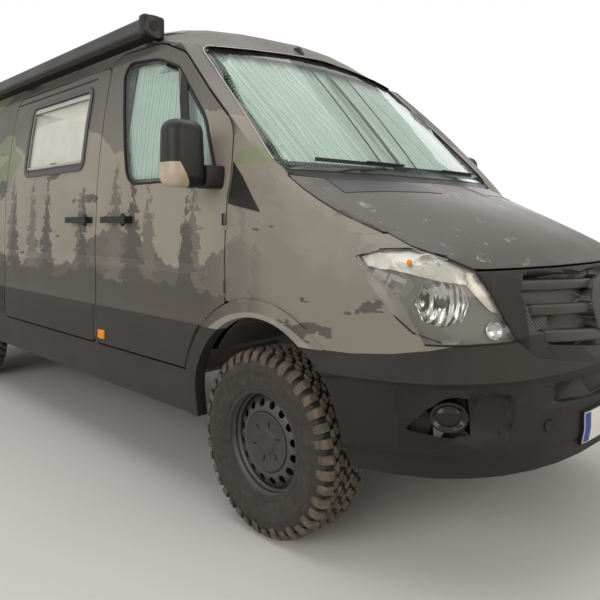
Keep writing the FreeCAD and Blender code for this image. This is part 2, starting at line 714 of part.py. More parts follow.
# Wing: what is left ahead of the cab door, below the bonnet line
wing_region = side_prism([
    (DOOR_FRONT + s.shut_gap, 0),
    (DOOR_FRONT + s.shut_gap, TRIANGLE_LOW),
    (ahead(10), TRIANGLE_TIP),
    (ahead(10), s.cowl_height + 100),
    (NOSE + 50, s.cowl_height + 100),
    (NOSE + 50, 0),
], RIGHT, -s.trim_gap)
cowl_block = slab(ahead(-150), ahead(260), -830, 0, s.cowl_height - 120, s.cowl_height + 150)
wing_region = wing_region.fuse(front_flare)
wing = shell_half.common(wing_region).cut(cowl_block).cut(grown_bonnet).cut(grown_lamp).cut(front_arch)
wing = wing.cut(front_prism(bumper_front, ahead(0), NOSE + 50, s.trim_gap))
wing = wing.cut(front_prism(grille_front, ahead(0), NOSE + 50, s.trim_gap))
wing = wing.fuse(flare(FRONT_AXLE, wing_region)).cut(front_arch).cut(
    front_prism(bumper_front, ahead(0), NOSE + 50, s.trim_gap))
wing = max(wing.Solids, key=lambda solid: solid.Volume)
for pin in wing_pins:
    wing = wing.fuse(pin)

# Side of the body: sill, pillars, rails and rear quarter in one panel
side_region = side_prism([
    (TAIL - 50, 0),
    (TAIL - 50, s.gutter_height - 1),
    (ahead(-s.screen_top_back - 130), s.gutter_height - 1),
    (ahead(-s.screen_top_back - 60), s.screen_top_height - 40),
    (ahead(10 - s.trim_gap), s.cowl_height + 80),
    (ahead(10 - s.trim_gap), TRIANGLE_TIP + s.trim_gap),
    (DOOR_FRONT + s.shut_gap - s.trim_gap, TRIANGLE_LOW + s.trim_gap),
    (DOOR_FRONT + s.shut_gap - s.trim_gap, 0),
], RIGHT, -s.screen_head_half * 0.75)
side_wall = shell_half.common(side_region)
for tool in (opening_block(front_door_outline, s.shut_gap), tail_opening, screen_block, cowl_block, rear_arch,
             side_prism(arch_outline(FRONT_AXLE, s.flare_width + s.trim_gap), RIGHT, 0),
             slab(TAIL - 50, TAIL + 260, -HALF, 0, 0, s.rear_door_bottom - 2 * s.rear_door_gap)):
    side_wall = side_wall.cut(tool)

# Door post behind the joint of the two doors, standing on the sill and under the rail
post_layer = plan_solid(s.wall + 6, 560, s.gutter_height - 20).cut(
    plan_solid(s.wall + 55, 560, s.gutter_height - 20))
post = post_layer.common(slab(PILLAR - 55, PILLAR + 55, -HALF, 0, 560, s.gutter_height - 20))
foot_layer = plan_solid(s.wall - 2, 560, s.gutter_height - 20).cut(
    plan_solid(s.wall + 20, 560, s.gutter_height - 20))
for low, high in ((560, s.door_sill - s.shut_gap - 2), (s.door_top + 12, s.gutter_height - 20)):
    post = post.fuse(foot_layer.common(slab(PILLAR - 55, PILLAR + 55, -HALF, 0, low, high)))
# Only the right wall is open behind the post, for the sliding door
walls = {"left": side_wall, "right": side_wall.cut(opening_block(sliding_door_outline, s.shut_gap))}
for side in SIDES:
    for added in [post, *tail_pins, flare(REAR_AXLE, rear_flare_block).cut(rear_arch)]:
        walls[side] = walls[side].fuse(added)

# Roof with the header over the windscreen, and the cowl under it
roof_region = slab(TAIL - 50, ahead(-450), -HALF, 0, s.screen_top_height - 90, 2600)
roof_half = shell_half.common(roof_region).cut(side_region).cut(screen_block).cut(tail_opening)
cowl_half = shell_half.common(cowl_block).cut(grown_bonnet).cut(screen_block)
screen_half = skin_solid(s.glass_set).cut(skin_solid(s.glass_set + s.glass_thick)).common(
    front_prism(screen_outline, ahead(-900), ahead(300), -s.seat_gap)).common(
    slab(ahead(-900), ahead(300), -HALF, 0, 1300, 2400))

# Rear bumper with its step
bumper_top = s.rear_door_bottom - 2 * s.rear_door_gap - s.trim_gap
rear_bumper_half = plan_solid(-s.moulding_proud, s.sill_height, bumper_top).cut(
    plan_solid(s.wall, s.sill_height, bumper_top)).common(
    slab(TAIL - 60, TAIL + 256, -HALF - 40, 0, 0, 1000))
rear_bumper_half = rear_bumper_half.fuse(slab(TAIL + 4, TAIL + 70, -560, 0, 470, bumper_top))

# Floor, wheel houses, fire wall
house_centre = s.arch_height + 10 - s.house_half


def wheel_house(axle, radius, inner, outer):
    return Part.makeCylinder(radius, outer - inner, Vector(axle, -outer, house_centre),
                             Vector(0, 1, 0))


def liner(axle, inner, foot):
    """The round tub over one wheel, closed towards the middle of the vehicle."""
    outer = HALF - s.wall - 60
    tub = wheel_house(axle, s.house_half, inner, outer)
    tub = tub.cut(wheel_house(axle, s.house_half - s.liner_thick, inner + s.liner_thick,
                              outer + 10))
    return tub.common(slab(axle - 500, axle + 500, -HALF, 0, foot, 1200))


inside = s.wall + s.seat_gap
floor_low = s.floor_top - s.floor_thick
floor_half = plan_solid(inside, floor_low, s.floor_top).common(
    slab(TAIL + s.tail_inset + s.wall + 25, ahead(-s.house_half - 30), -HALF, 0, 0, 900))
floor_half = floor_half.cut(wheel_house(REAR_AXLE, s.house_half, s.rear_house_inner, HALF + 50))
floor_half = floor_half.cut(slab(PILLAR - 55 - s.seat_gap, PILLAR + 55 + s.seat_gap, -HALF,
                                 -HALF + 115, 500, 700))
floor_half = floor_half.fuse(liner(REAR_AXLE, s.rear_house_inner, s.floor_top - 60))
fire_wall = side_prism([
    (ahead(-60), s.cowl_height - 90), (ahead(-60), 960), (ahead(-s.house_half - 30), s.floor_top),
    (ahead(-s.house_half - 30), floor_low), (ahead(-s.house_half), floor_low),
    (ahead(-40), 940), (ahead(-40), s.cowl_height - 90)], -HALF, 0)
fire_wall = fire_wall.common(hull(inside + 4))
fire_wall = fire_wall.cut(wheel_house(FRONT_AXLE, s.house_half, s.front_house_inner, HALF + 50))
fire_wall = fire_wall.fuse(liner(FRONT_AXLE, s.front_house_inner, s.floor_top + 20))

# Slam panel behind the grille, standing on the rails, with buffers under the bonnet
slam = slab(ahead(s.slam_ahead - 25), ahead(s.slam_ahead + 25), -s.rail_half_gap - s.rail_width,
            -s.rail_half_gap, s.floor_top - s.floor_thick, 1000)
slam = slam.fuse(slab(ahead(s.slam_ahead - 25), ahead(s.slam_ahead + 25),
                      -s.rail_half_gap - s.rail_width, 0, 960, 1000))
slam = slam.fuse(Part.makeCylinder(14, 300, Vector(ahead(s.slam_ahead), -s.rail_half_gap - 30, 980)))
slam = slam.common(inner_half.common(skin_solid(inside)))
slam_panel = slam

# Dashboard under the windscreen
dash_back = ahead(-60) - s.seat_gap
dash_half = side_prism([
    (dash_back, 1000), (dash_back, 1330), (ahead(-120), 1400, 20), (ahead(-330), 1392, 60),
    (ahead(-420), 1290, 40), (ahead(-400), 1120, 60), (ahead(-250), 980, 40),
    (ahead(-120), 980)], -HALF, 0)
dash_half = dash_half.common(hull(inside + 6))

for side in SIDES:
    def sided(shape):
        return shape if side == "right" else mirrored(shape)

    solid_part(f"side_wall_{side}", sided(walls[side]))
    solid_part(f"wing_{side}", sided(wing))
    solid_part(f"front_door_{side}", sided(front_door))
    solid_part(f"door_glass_{side}", sided(door_glass))
    solid_part(f"rear_door_{side}", sided(rear_door))
    solid_part(f"headlamp_{side}", sided(headlamp))

solid_part("sliding_door", sliding_door)
solid_part("camper_window", camper_window)
solid_part("camper_pane", camper_pane)
solid_part("bonnet", whole(bonnet_half))
solid_part("grille", whole(grille_half))
tow_hole = Part.makeCylinder(22, 400, Vector(NOSE - 200, -s.tow_side, s.tow_height), Vector(1, 0, 0))
solid_part("front_bumper", whole(bumper_half).cut(tow_hole))
solid_part("roof_panel", whole(roof_half))
solid_part("cowl", whole(cowl_half))
solid_part("windscreen", whole(screen_half))
solid_part("rear_bumper", whole(rear_bumper_half))
solid_part("floor_pan", whole(floor_half))
solid_part("fire_wall", whole(fire_wall))
solid_part("slam_panel", whole(slam_panel))
COLUMN_RADIUS = 28
column_hole = Part.makeCylinder(COLUMN_RADIUS + s.seat_gap, 160, Vector(ahead(-520), 440, 1265),
                                Vector(math.sin(math.radians(62)), 0, -math.cos(math.radians(62))))
solid_part("dashboard", whole(dash_half).cut(column_hole))


# Wheels

def sketch_profile(body, name, points):
    """A closed outline on the body's ground plane, each corner held by two expressions."""
    sketch = body.newObject("Sketcher::SketchObject", name)
    plane = [item for item in body.Origin.OriginFeatures if item.Role == "XY_Plane"][0]
    sketch.AttachmentSupport = [(plane, "")]
    sketch.MapMode = "FlatFace"
    count = len(points)
    corners = [Vector(100 * math.cos(2 * math.pi * k / count) + 300,
                      100 * math.sin(2 * math.pi * k / count) + 300, 0) for k in range(count)]
    for index in range(count):
        sketch.addGeometry(Part.LineSegment(corners[index], corners[(index + 1) % count]), False)
    for index in range(count):
        sketch.addConstraint(Sketcher.Constraint("Coincident", index, 2, (index + 1) % count, 1))
    for index, (u, v) in enumerate(points):
        for kind, expression in (("DistanceX", u), ("DistanceY", v)):
            held = corners[index].x if kind == "DistanceX" else corners[index].y
            number = sketch.addConstraint(Sketcher.Constraint(kind, -1, 1, index, 1, held))
            sketch.setExpression(f"Constraints[{number}]", expression)
    return sketch


def revolved_body(name, points):
    """A body turned about its own Y axis."""
    body = doc.addObject("PartDesign::Body", name)
    sketch = sketch_profile(body, name + "_profile", points)
    turn = body.newObject("PartDesign::Revolution", name + "_turned")
    turn.Profile = sketch
    axis = [item for item in body.Origin.OriginFeatures if item.Role == "Y_Axis"][0]
    turn.ReferenceAxis = (axis, [""])
    turn.Angle = 360
    body.Tip = turn
    return body


BEAD = "(Sizes.tyre_width - Sizes.rim_width) / 2"


def tyre_points():
    """Half of the section from bead to tread, then the same mirrored across the width."""
    half = [
        ("Sizes.rim_radius - 4.5", BEAD + " + 14"),
        ("Sizes.rim_radius + 13", BEAD + " + 13"),
        ("Sizes.rim_radius + 20", BEAD + " - 8"),
        ("(Sizes.rim_radius + Sizes.tyre_radius) / 2 - 12", "4"),
        ("(Sizes.rim_radius + Sizes.tyre_radius) / 2 + 30", "2"),
        ("Sizes.tyre_radius - 26", "10"),
        ("Sizes.tyre_radius - 8", "22"),
        ("Sizes.tyre_radius", "44"),
    ]
    return half + [(u, "Sizes.tyre_width - (" + v + ")") for u, v in reversed(half)]


DISC = "Sizes.rim_width / 2 + 19"
RIM_POINTS = [
    ("26", DISC + " - 34"), ("Sizes.hub_radius", DISC + " - 34"), ("Sizes.hub_radius", DISC),
    ("105", DISC), ("150", DISC + " + 14"), ("176", DISC),
    ("Sizes.rim_radius - 15", DISC), ("Sizes.rim_radius - 15", "6"),
    ("Sizes.rim_radius + 3", "0"), ("Sizes.rim_radius + 11", "0"),
    ("Sizes.rim_radius + 11", "8"), ("Sizes.rim_radius - 5", "12"),
    ("Sizes.rim_radius - 5", "Sizes.rim_width - 12"),
    ("Sizes.rim_radius + 11", "Sizes.rim_width - 8"), ("Sizes.rim_radius + 11", "Sizes.rim_width"),
    ("Sizes.rim_radius + 3", "Sizes.rim_width"), ("Sizes.rim_radius - 15", "Sizes.rim_width - 6"),
    ("Sizes.rim_radius - 15", DISC + " + 8"), ("178", DISC + " + 8"),
    ("150", DISC + " + 22"), ("105", DISC + " + 8"), ("26", DISC + " + 8"),
]


def polar_holes(body, name, radius, circle, count, phase):
    """A ring of round holes through the disc."""
    sketch = body.newObject("Sketcher::SketchObject", name + "_sketch")
    plane = [item for item in body.Origin.OriginFeatures if item.Role == "XZ_Plane"][0]
    sketch.AttachmentSupport = [(plane, "")]
    sketch.MapMode = "FlatFace"
    sketch.addGeometry(Part.Circle(Vector(200, 0, 0), Vector(0, 0, 1), 10), False)
    size = sketch.addConstraint(Sketcher.Constraint("Radius", 0, 10))
    sketch.setExpression(f"Constraints[{size}]", radius)
    along = sketch.addConstraint(Sketcher.Constraint("DistanceX", -1, 1, 0, 3, 200))
    sketch.setExpression(f"Constraints[{along}]", f"({circle}) * cos({phase} deg)")
    up = sketch.addConstraint(Sketcher.Constraint("DistanceY", -1, 1, 0, 3, 1))
    sketch.setExpression(f"Constraints[{up}]", f"({circle}) * sin({phase} deg)")
    doc.recompute()
    pocket = body.newObject("PartDesign::Pocket", name)
    pocket.Profile = sketch
    pocket.Type = "ThroughAll"
    pocket.Midplane = True
    doc.recompute()
    ring = body.newObject("PartDesign::PolarPattern", name + "_ring")
    ring.Originals = [pocket]
    axis = [item for item in body.Origin.OriginFeatures if item.Role == "Y_Axis"][0]
    ring.Axis = (axis, [""])
    ring.Angle = 360
    ring.Occurrences = count
    body.Tip = ring
    doc.recompute()
    return ring


WHEELS = {
    "front_left": ("Sizes.overall_length / 2 - Sizes.front_overhang", "Sizes.front_track", 1),
    "front_right": ("Sizes.overall_length / 2 - Sizes.front_overhang", "Sizes.front_track", -1),
    "rear_left": ("Sizes.overall_length / 2 - Sizes.front_overhang - Sizes.wheelbase",
                  "Sizes.rear_track", 1),
    "rear_right": ("Sizes.overall_length / 2 - Sizes.front_overhang - Sizes.wheelbase",
                   "Sizes.rear_track", -1),
}

for corner, (axle_x, track, sign) in WHEELS.items():
    for kind, points, width in (("tyre", tyre_points(), "Sizes.tyre_width"),
                                ("rim", RIM_POINTS, "Sizes.rim_width")):
        body = revolved_body(f"{kind}_{corner}_body", points)
        doc.recompute()
        if kind == "rim":
            polar_holes(body, f"bolt_{corner}", "7.5", "Sizes.stud_circle / 2", 6, 30)
            polar_holes(body, f"vent_{corner}", "11", "Sizes.rim_radius - 40", 16, 0)
        if sign < 0:
            body.Placement.Rotation = FreeCAD.Rotation(Vector(0, 0, 1), 180)
        bind(body, Placement__Base__x=axle_x,
             Placement__Base__y=f"{sign} * ({track} / 2 - {width} / 2)",
             Placement__Base__z="Sizes.tyre_radius")
        keep(f"{kind}_{corner}", body)

# Front suspension: knuckles between two wishbones a side
AXLE_X = WHEELS["front_left"][0]
KINGPIN = "(Sizes.front_track / 2 - Sizes.kingpin_inset)"


def mirror_y(side, expression, width):
    """The lowest Y of a box that starts at expression on the left, on either side."""
    return expression if side == "left" else f"-({expression}) - ({width})"


for side, sign in SIDES.items():
    upright = sized_box(f"upright_{side}", ("80", "58", "Sizes.knuckle_height - 100"),
                        (AXLE_X + " - 40", mirror_y(side, KINGPIN + " - 29", "58"),
                         "Sizes.tyre_radius - Sizes.knuckle_height / 2 + 50"))
    kingpin = sized_rod(f"kingpin_{side}", "12", "Sizes.knuckle_height - 50",
                        (AXLE_X, f"{sign} * {KINGPIN}",
                         "Sizes.tyre_radius - Sizes.knuckle_height / 2 + 25"))
    stub_turn = ALONG_Y if side == "left" else (Vector(1, 0, 0), 90)
    stub = sized_rod(f"stub_{side}", "25", "Sizes.kingpin_inset + 20",
                     (AXLE_X, f"{sign} * {KINGPIN}", "Sizes.tyre_radius"), stub_turn)
    steering_arm = sized_box(f"steering_arm_{side}", ("110", "26", "22"),
                             (AXLE_X + " - 140", mirror_y(side, KINGPIN + " - 29", "26"),
                              "Sizes.tyre_radius - 70"))
    keep(f"knuckle_{side}", joined(f"knuckle_{side}_whole",
                                   [upright, kingpin, stub, steering_arm]))

arms = []
for side, sign in SIDES.items():
    for level, z_low, root in (
            ("lower", "Sizes.tyre_radius - Sizes.knuckle_height / 2 + 20",
             "Sizes.rail_half_gap - 10"),
            ("upper", "Sizes.tyre_radius + Sizes.knuckle_height / 2 - 44",
             "Sizes.rail_half_gap + Sizes.rail_width")):
        thick = "24"
        reach = f"({KINGPIN} - ({root}))"
        eye = sized_rod(f"eye_{level}_{side}", "26", thick, (AXLE_X, f"{sign} * {KINGPIN}", z_low))
        arm = sized_box(f"arm_{level}_{side}",
                        ("60", reach, thick),
                        (AXLE_X + " - 30", mirror_y(side, root, reach), z_low))
        bore = sized_rod(f"bore_{level}_{side}", "12.5", "60",
                         (AXLE_X, f"{sign} * {KINGPIN}", z_low + " - 18"))
        arms.append(taken_from(f"wishbone_{level}_{side}",
                               joined(f"arm_eye_{level}_{side}", [arm, eye]), bore))
    arms.append(sized_rod(f"damper_{side}", "34", "Sizes.floor_top - 240",
                          (AXLE_X, f"{sign} * 610", "Sizes.tyre_radius - 125")))
SUBFRAME_TOP = "360"
for side in SIDES:
    arms.append(sized_box(f"subframe_leg_{side}",
                          ("90", "Sizes.rail_width",
                           f"Sizes.floor_top - Sizes.floor_thick - Sizes.rail_height - {SUBFRAME_TOP}"
                           " + 120"),
                          (AXLE_X + " - 130", mirror_y(side, "Sizes.rail_half_gap",
                                                       "Sizes.rail_width"),
                           SUBFRAME_TOP + " - 120")))
crossbeam = sized_box("crossbeam", ("220", "2 * Sizes.rail_half_gap", "120"),
                      (AXLE_X + " - 110", "-Sizes.rail_half_gap", SUBFRAME_TOP + " - 120"))
keep("front_suspension", joined("front_suspension_whole", arms + [crossbeam]))

# Chassis frame: two open channels under the floor with cross members
RAIL_LOW = "Sizes.floor_top - Sizes.floor_thick - Sizes.rail_height"
frame_pieces = []
for side in SIDES:
    rail = sized_box(f"rail_{side}", ("Sizes.overall_length - 260", "Sizes.rail_width",
                                      "Sizes.rail_height"),
                     ("-Sizes.overall_length / 2 + 110",
                      mirror_y(side, "Sizes.rail_half_gap", "Sizes.rail_width"), RAIL_LOW))
    hollow = sized_box(f"rail_hollow_{side}",
                       ("Sizes.overall_length", "Sizes.rail_width",
                        "Sizes.rail_height - 2 * Sizes.rail_wall"),
                       ("-Sizes.overall_length / 2 - 100",
                        mirror_y(side, "Sizes.rail_half_gap - Sizes.rail_wall",
                                 "Sizes.rail_width"), RAIL_LOW + " + Sizes.rail_wall"))
    frame_pieces.append(taken_from(f"channel_{side}", rail, hollow))
for index, place in enumerate(("Sizes.overall_length / 2 - 300",
                               AXLE_X + " - 900", AXLE_X + " - 1900",
                               AXLE_X + " - 2900", "-Sizes.overall_length / 2 + 130")):
    web = "(Sizes.rail_half_gap + Sizes.rail_width - Sizes.rail_wall)"
    frame_pieces.append(sized_box(f"cross_member_{index}", ("80", "2 * " + web, "50"),
                                  (place, "-" + web, RAIL_LOW + " + 44")))
RAIL_END = "Sizes.overall_length / 2 - 150"
frame_pieces.append(sized_box("rail_end_plate", ("6", "Sizes.rail_width", "Sizes.rail_height"),
                              (RAIL_END + " - 6", "-Sizes.rail_half_gap - Sizes.rail_width",
                               RAIL_LOW)))
tow_middle = ("-Sizes.tow_side", "Sizes.tow_height")
tow_tube = sized_rod("tow_tube", "18", "45", (RAIL_END, *tow_middle), ALONG_X)
tow_bore = sized_rod("tow_bore", "10", "45", (RAIL_END, *tow_middle), ALONG_X)
frame_pieces.append(taken_from("tow_socket", tow_tube, tow_bore))
keep("chassis_frame", joined("chassis_frame_whole", frame_pieces))

# Rear axle on leaf springs
REAR_X = WHEELS["rear_left"][0]
SHAFT_HEIGHT = "(Sizes.tyre_radius + 30)"
rear_pieces = [
    sized_rod("axle_tube", "Sizes.axle_tube_radius", "Sizes.rear_track - 44",
              (REAR_X, "-(Sizes.rear_track - 44) / 2", "Sizes.tyre_radius"), ALONG_Y),
    sized_rod("axle_spindle", "25", "Sizes.rear_track + 30",
              (REAR_X, "-(Sizes.rear_track + 30) / 2", "Sizes.tyre_radius"), ALONG_Y),
    sized_rod("differential", "125", "180", (REAR_X, "-90", "Sizes.tyre_radius"), ALONG_Y),
    sized_rod("pinion_flange", "Sizes.propshaft_radius + 8", "140",
              (REAR_X, "0", SHAFT_HEIGHT), ALONG_X),
]
for side in SIDES:
    leaf = sized_box(f"leaf_{side}", ("1250", "70", "24"),
                     (REAR_X + " - 625", mirror_y(side, "Sizes.rail_half_gap + 95", "70"),
                      "Sizes.tyre_radius + Sizes.axle_tube_radius - 4"))
    rear_pieces.append(leaf)
    for end, offset in (("front", "560"), ("rear", "-620")):
        rear_pieces.append(sized_box(
            f"shackle_{end}_{side}", ("60", "110", "60"),
            (REAR_X + " + " + offset,
             mirror_y(side, "Sizes.rail_half_gap + Sizes.rail_width", "110"),
             RAIL_LOW + " - 40")))
keep("rear_axle", joined("rear_axle_whole", rear_pieces))

# Engine as one block, the shaft to the rear axle, exhaust and fuel tank
keep("engine_block", sized_box("engine_block_box",
                               ("Sizes.engine_length", "Sizes.engine_width",
                                "Sizes.engine_height"),
                               (AXLE_X + " - 10", "-Sizes.engine_width / 2", "360")))
shaft = sized_rod("shaft_tube", "Sizes.propshaft_radius", "Sizes.wheelbase - 150",
                  (REAR_X + " + 140", "0", SHAFT_HEIGHT), ALONG_X)
keep("propshaft", shaft)
EXHAUST_HEIGHT = "468"
exhaust_pieces = [
    sized_rod("exhaust_pipe", "Sizes.exhaust_radius", "Sizes.overall_length - 1570",
              ("-Sizes.overall_length / 2 + 130", "-270", EXHAUST_HEIGHT), ALONG_X),
    sized_rod("silencer", "90", "700",
              ("-Sizes.overall_length / 2 + 3170", "-270", EXHAUST_HEIGHT), ALONG_X),
]
for index, place in enumerate(("220", "2500", "3900")):
    exhaust_pieces.append(sized_box(
        f"hanger_{index}", ("20", "20", "Sizes.floor_top - Sizes.floor_thick - " + EXHAUST_HEIGHT),
        ("-Sizes.overall_length / 2 + " + place, "-280", EXHAUST_HEIGHT)))
keep("exhaust", joined("exhaust_whole", exhaust_pieces))
tank = sized_box("tank_box", ("820", "330", "230"),
                 (AXLE_X + " - 1800", "40", "Sizes.floor_top - Sizes.floor_thick - 230"))
keep("fuel_tank", tank)

# Seats and steering wheel
for name, middle in (("driver_seat", 440), ("passenger_seat", -440)):
    seat = [
        sized_box(f"{name}_base", ("380", "400", "300"),
                  (AXLE_X + " - 1150", f"{middle} - 200", "Sizes.floor_top")),
        sized_box(f"{name}_cushion", ("500", "500", "130"),
                  (AXLE_X + " - 1210", f"{middle} - 250", "Sizes.floor_top + 300")),
        sized_box(f"{name}_back", ("140", "480", "640"),
                  (AXLE_X + " - 1270", f"{middle} - 240", "Sizes.floor_top + 420")),
        sized_box(f"{name}_headrest", ("90", "260", "200"),
                  (AXLE_X + " - 1250", f"{middle} - 130", "Sizes.floor_top + 1050")),
    ]
    keep(name, joined(name + "_whole", seat))

tilt = (Vector(0, 1, 0), -62)
rim_ring = doc.addObject("Part::Torus", "wheel_ring")
bind(rim_ring, Radius1="185", Radius2="14")
spoke = sized_box("wheel_spoke", ("356", "50", "16"), ("-178", "-25", "-8"))
column = sized_rod("wheel_column", str(COLUMN_RADIUS), "150", ("0", "0", "-150"))
steering = joined("steering_whole", [rim_ring, spoke, column])
steering.Placement.Rotation = FreeCAD.Rotation(*tilt)
bind(steering, Placement__Base__x=AXLE_X + " - 520", Placement__Base__y="440",
     Placement__Base__z="1265")
keep("steering_wheel", steering)


# Mirrors on the cab doors
def mirror_piece(side):
    outer = -s.mirror_reach
    head = side_prism([(ahead(-385), 1395, 25), (ahead(-385), 1395 + s.mirror_height, 30),
                       (ahead(-300), 1395 + s.mirror_height, 35), (ahead(-262), 1430, 30)],
                      outer, outer + 185)
    foot = side_prism([(ahead(-330), 1400, 20), (ahead(-330), 1500, 30), (ahead(-225), 1500, 20),
                       (ahead(-225), 1400, 20)], outer + 150, -HALF + 140)
    piece = head.fuse(foot.cut(plan_solid(-s.seat_gap, 1380, 1520)))
    piece = max(piece.Solids, key=lambda solid: solid.Volume)
    return piece if side == "right" else mirrored(piece)


for side in SIDES:
    solid_part(f"mirror_{side}", mirror_piece(side))

# Tail lamps at the rear corners
lamp_shell = plan_solid(-6, 900, 1330).cut(plan_solid(-s.seat_gap, 900, 1330))
tail_lamp = lamp_shell.common(slab(TAIL - 20, TAIL + 130, -HALF - 20, -s.rear_door_half - 40,
                                   900, 1330))
for side in SIDES:
    solid_part(f"tail_lamp_{side}", tail_lamp if side == "right" else mirrored(tail_lamp))

# Awning cassette over the right-hand gutter, on three brackets
awning_low = s.gutter_height - 82
awning_inner = -(HALF - lean(awning_low)) - 6
awning_outline = [
    (awning_inner, awning_low, 8),
    (awning_inner, awning_low + s.awning_height, 14),
    (awning_inner - s.awning_depth + 20, awning_low + s.awning_height, 34),
    (awning_inner - s.awning_depth, awning_low + 30, 30),
    (awning_inner - s.awning_depth + 16, awning_low, 10),
]
AWNING_FRONT = ahead(-s.awning_front_back)
awning = front_prism(awning_outline, AWNING_FRONT - s.awning_length, AWNING_FRONT)
bracket_top = awning_low + 70
side_air = plan_solid(-s.seat_gap, awning_low - 50, s.roof_height)
for share in (0.04, 0.5, 0.96):
    place = AWNING_FRONT - share * s.awning_length
    reach = slab(place - 45, place + 45, awning_inner - 1, awning_inner + 90, awning_low + 30,
                 bracket_top)
    awning = awning.fuse(reach.cut(side_air))
awning = max(awning.Solids, key=lambda solid: solid.Volume)
solid_part("awning", awning)

# Everything is rebuilt, checked and written
doc.recompute()
for item in doc.Objects:
    if any(flag in item.State for flag in ("Invalid", "Error")):
        raise SystemExit(f"{item.Name} failed to build: {item.State}")
for item in PARTS:
    if item.Shape.isNull() or not item.Shape.isValid() or not item.Shape.Solids:
        raise SystemExit(f"{item.Label} has no valid shape")
    item.Shape.exportStep(f"parts/{item.Label}.step")
print(len(PARTS), "sub-parts written")
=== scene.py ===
import math

import bmesh
import bpy
from mathutils import Matrix, Vector
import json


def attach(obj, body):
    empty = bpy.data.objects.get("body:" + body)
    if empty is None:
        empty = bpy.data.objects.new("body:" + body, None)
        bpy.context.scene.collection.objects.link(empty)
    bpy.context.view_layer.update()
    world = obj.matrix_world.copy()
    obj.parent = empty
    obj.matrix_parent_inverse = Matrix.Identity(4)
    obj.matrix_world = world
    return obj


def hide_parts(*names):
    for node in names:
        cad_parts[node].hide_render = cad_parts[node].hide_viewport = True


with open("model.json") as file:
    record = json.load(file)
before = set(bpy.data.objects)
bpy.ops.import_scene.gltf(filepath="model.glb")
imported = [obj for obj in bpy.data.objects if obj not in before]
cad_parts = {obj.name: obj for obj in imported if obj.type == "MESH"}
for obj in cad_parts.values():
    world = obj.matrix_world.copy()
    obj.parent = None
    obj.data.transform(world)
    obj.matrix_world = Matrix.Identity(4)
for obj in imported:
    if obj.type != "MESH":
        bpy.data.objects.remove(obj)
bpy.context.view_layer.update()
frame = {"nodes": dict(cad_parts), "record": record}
nodes = frame["nodes"]
print("frame loaded:", len(nodes), "nodes")


# ---- colours, nodes and meshes

def linear(code):
    # sRGB hex code to linear red, green, blue, alpha
    parts = [int(code[k:k + 2], 16) / 255 for k in (1, 3, 5)]
    return tuple(c / 12.92 if c <= 0.04045 else ((c + 0.055) / 1.055) ** 2.4 for c in parts) + (1,)


def addNode(tree, kind, sockets=None, **settings):
    # sockets hold plain values or the output sockets that feed them
    node = tree.nodes.new("ShaderNode" + kind)
    for name, value in settings.items():
        setattr(node, name, value)
    for name, value in (sockets or {}).items():
        if isinstance(value, bpy.types.NodeSocket):
            tree.links.new(value, node.inputs[name])
        else:
            node.inputs[name].default_value = value
    return node


def clearTree(owner):
    owner.use_nodes = True
    owner.node_tree.nodes.clear()
    return owner.node_tree


def startFinish(name, **sockets):
    # a new material with its shader, and the position on the object that its patterns read
    finish = bpy.data.materials.new(name)
    tree = clearTree(finish)
    shader = addNode(tree, "BsdfPrincipled", sockets)
    addNode(tree, "OutputMaterial", {"Surface": shader.outputs[0]})
    return finish, shader, addNode(tree, "TexCoord").outputs["Object"]


def feed(shader, socket, source):
    shader.id_data.links.new(source, shader.inputs[socket])


def noise(place, perMetre, detail=3.0, rough=0.5, stretch=None):
    tree = place.id_data
    if stretch:
        place = addNode(tree, "Mapping", {"Vector": place, "Scale": stretch}).outputs[0]
    return addNode(tree, "TexNoise", {"Vector": place, "Scale": perMetre, "Detail": detail,
                                      "Roughness": rough}).outputs["Fac"]


def stops(source, *pairs):
    # colour ramp: pairs of position and sRGB hex colour
    ramp = addNode(source.id_data, "ValToRGB", {"Fac": source})
    while len(ramp.color_ramp.elements) < len(pairs):
        ramp.color_ramp.elements.new(1.0)
    for element, (position, code) in zip(ramp.color_ramp.elements, pairs):
        element.position = position
        element.color = linear(code)
    return ramp.outputs["Color"]


def levels(source, low, high, start=0.0, stop=1.0):
    # a value between low and high, spread from start to stop
    return addNode(source.id_data, "MapRange", {"Value": source, "From Min": low, "From Max": high,
                                                "To Min": start, "To Max": stop}).outputs[0]


def calc(operation, a, b=0.0):
    tree = (a if isinstance(a, bpy.types.NodeSocket) else b).id_data
    return addNode(tree, "Math", {0: a, 1: b}, operation=operation).outputs[0]


def times(*values):
    product = values[0]
    for value in values[1:]:
        product = calc("MULTIPLY", product, value)
    return product


def mixed(amount, under, over):
    # over shows where amount is 1
    under, over = (linear(colour) if isinstance(colour, str) else colour for colour in (under, over))
    return addNode(amount.id_data, "Mix", {0: amount, 6: under, 7: over}, data_type="RGBA").outputs[2]


def bump(shader, height, strength, depth):
    node = addNode(shader.id_data, "Bump", {"Strength": strength, "Distance": depth, "Height": height})
    feed(shader, "Normal", node.outputs[0])


def deselectAll():
    if bpy.context.object and bpy.context.object.mode != "OBJECT":
        bpy.ops.object.mode_set(mode="OBJECT")
    bpy.ops.object.select_all(action="DESELECT")


def choose(piece):
    deselectAll()
    piece.select_set(True)
    bpy.context.view_layer.objects.active = piece


def start(kind, name, **settings):
    # a primitive at its size and place
    deselectAll()
    getattr(bpy.ops.mesh, "primitive_" + kind + "_add")(**settings)
    piece = bpy.context.object
    piece.name = name
    bpy.ops.object.transform_apply(location=True, rotation=True, scale=True)
    return piece


def block(name, low, high):
    # a box between two corners, to be shaped further
    middle = [(a + b) / 2 for a, b in zip(low, high)]
    size = [b - a for a, b in zip(low, high)]
    return start("cube", name, size=1, location=middle, scale=size)


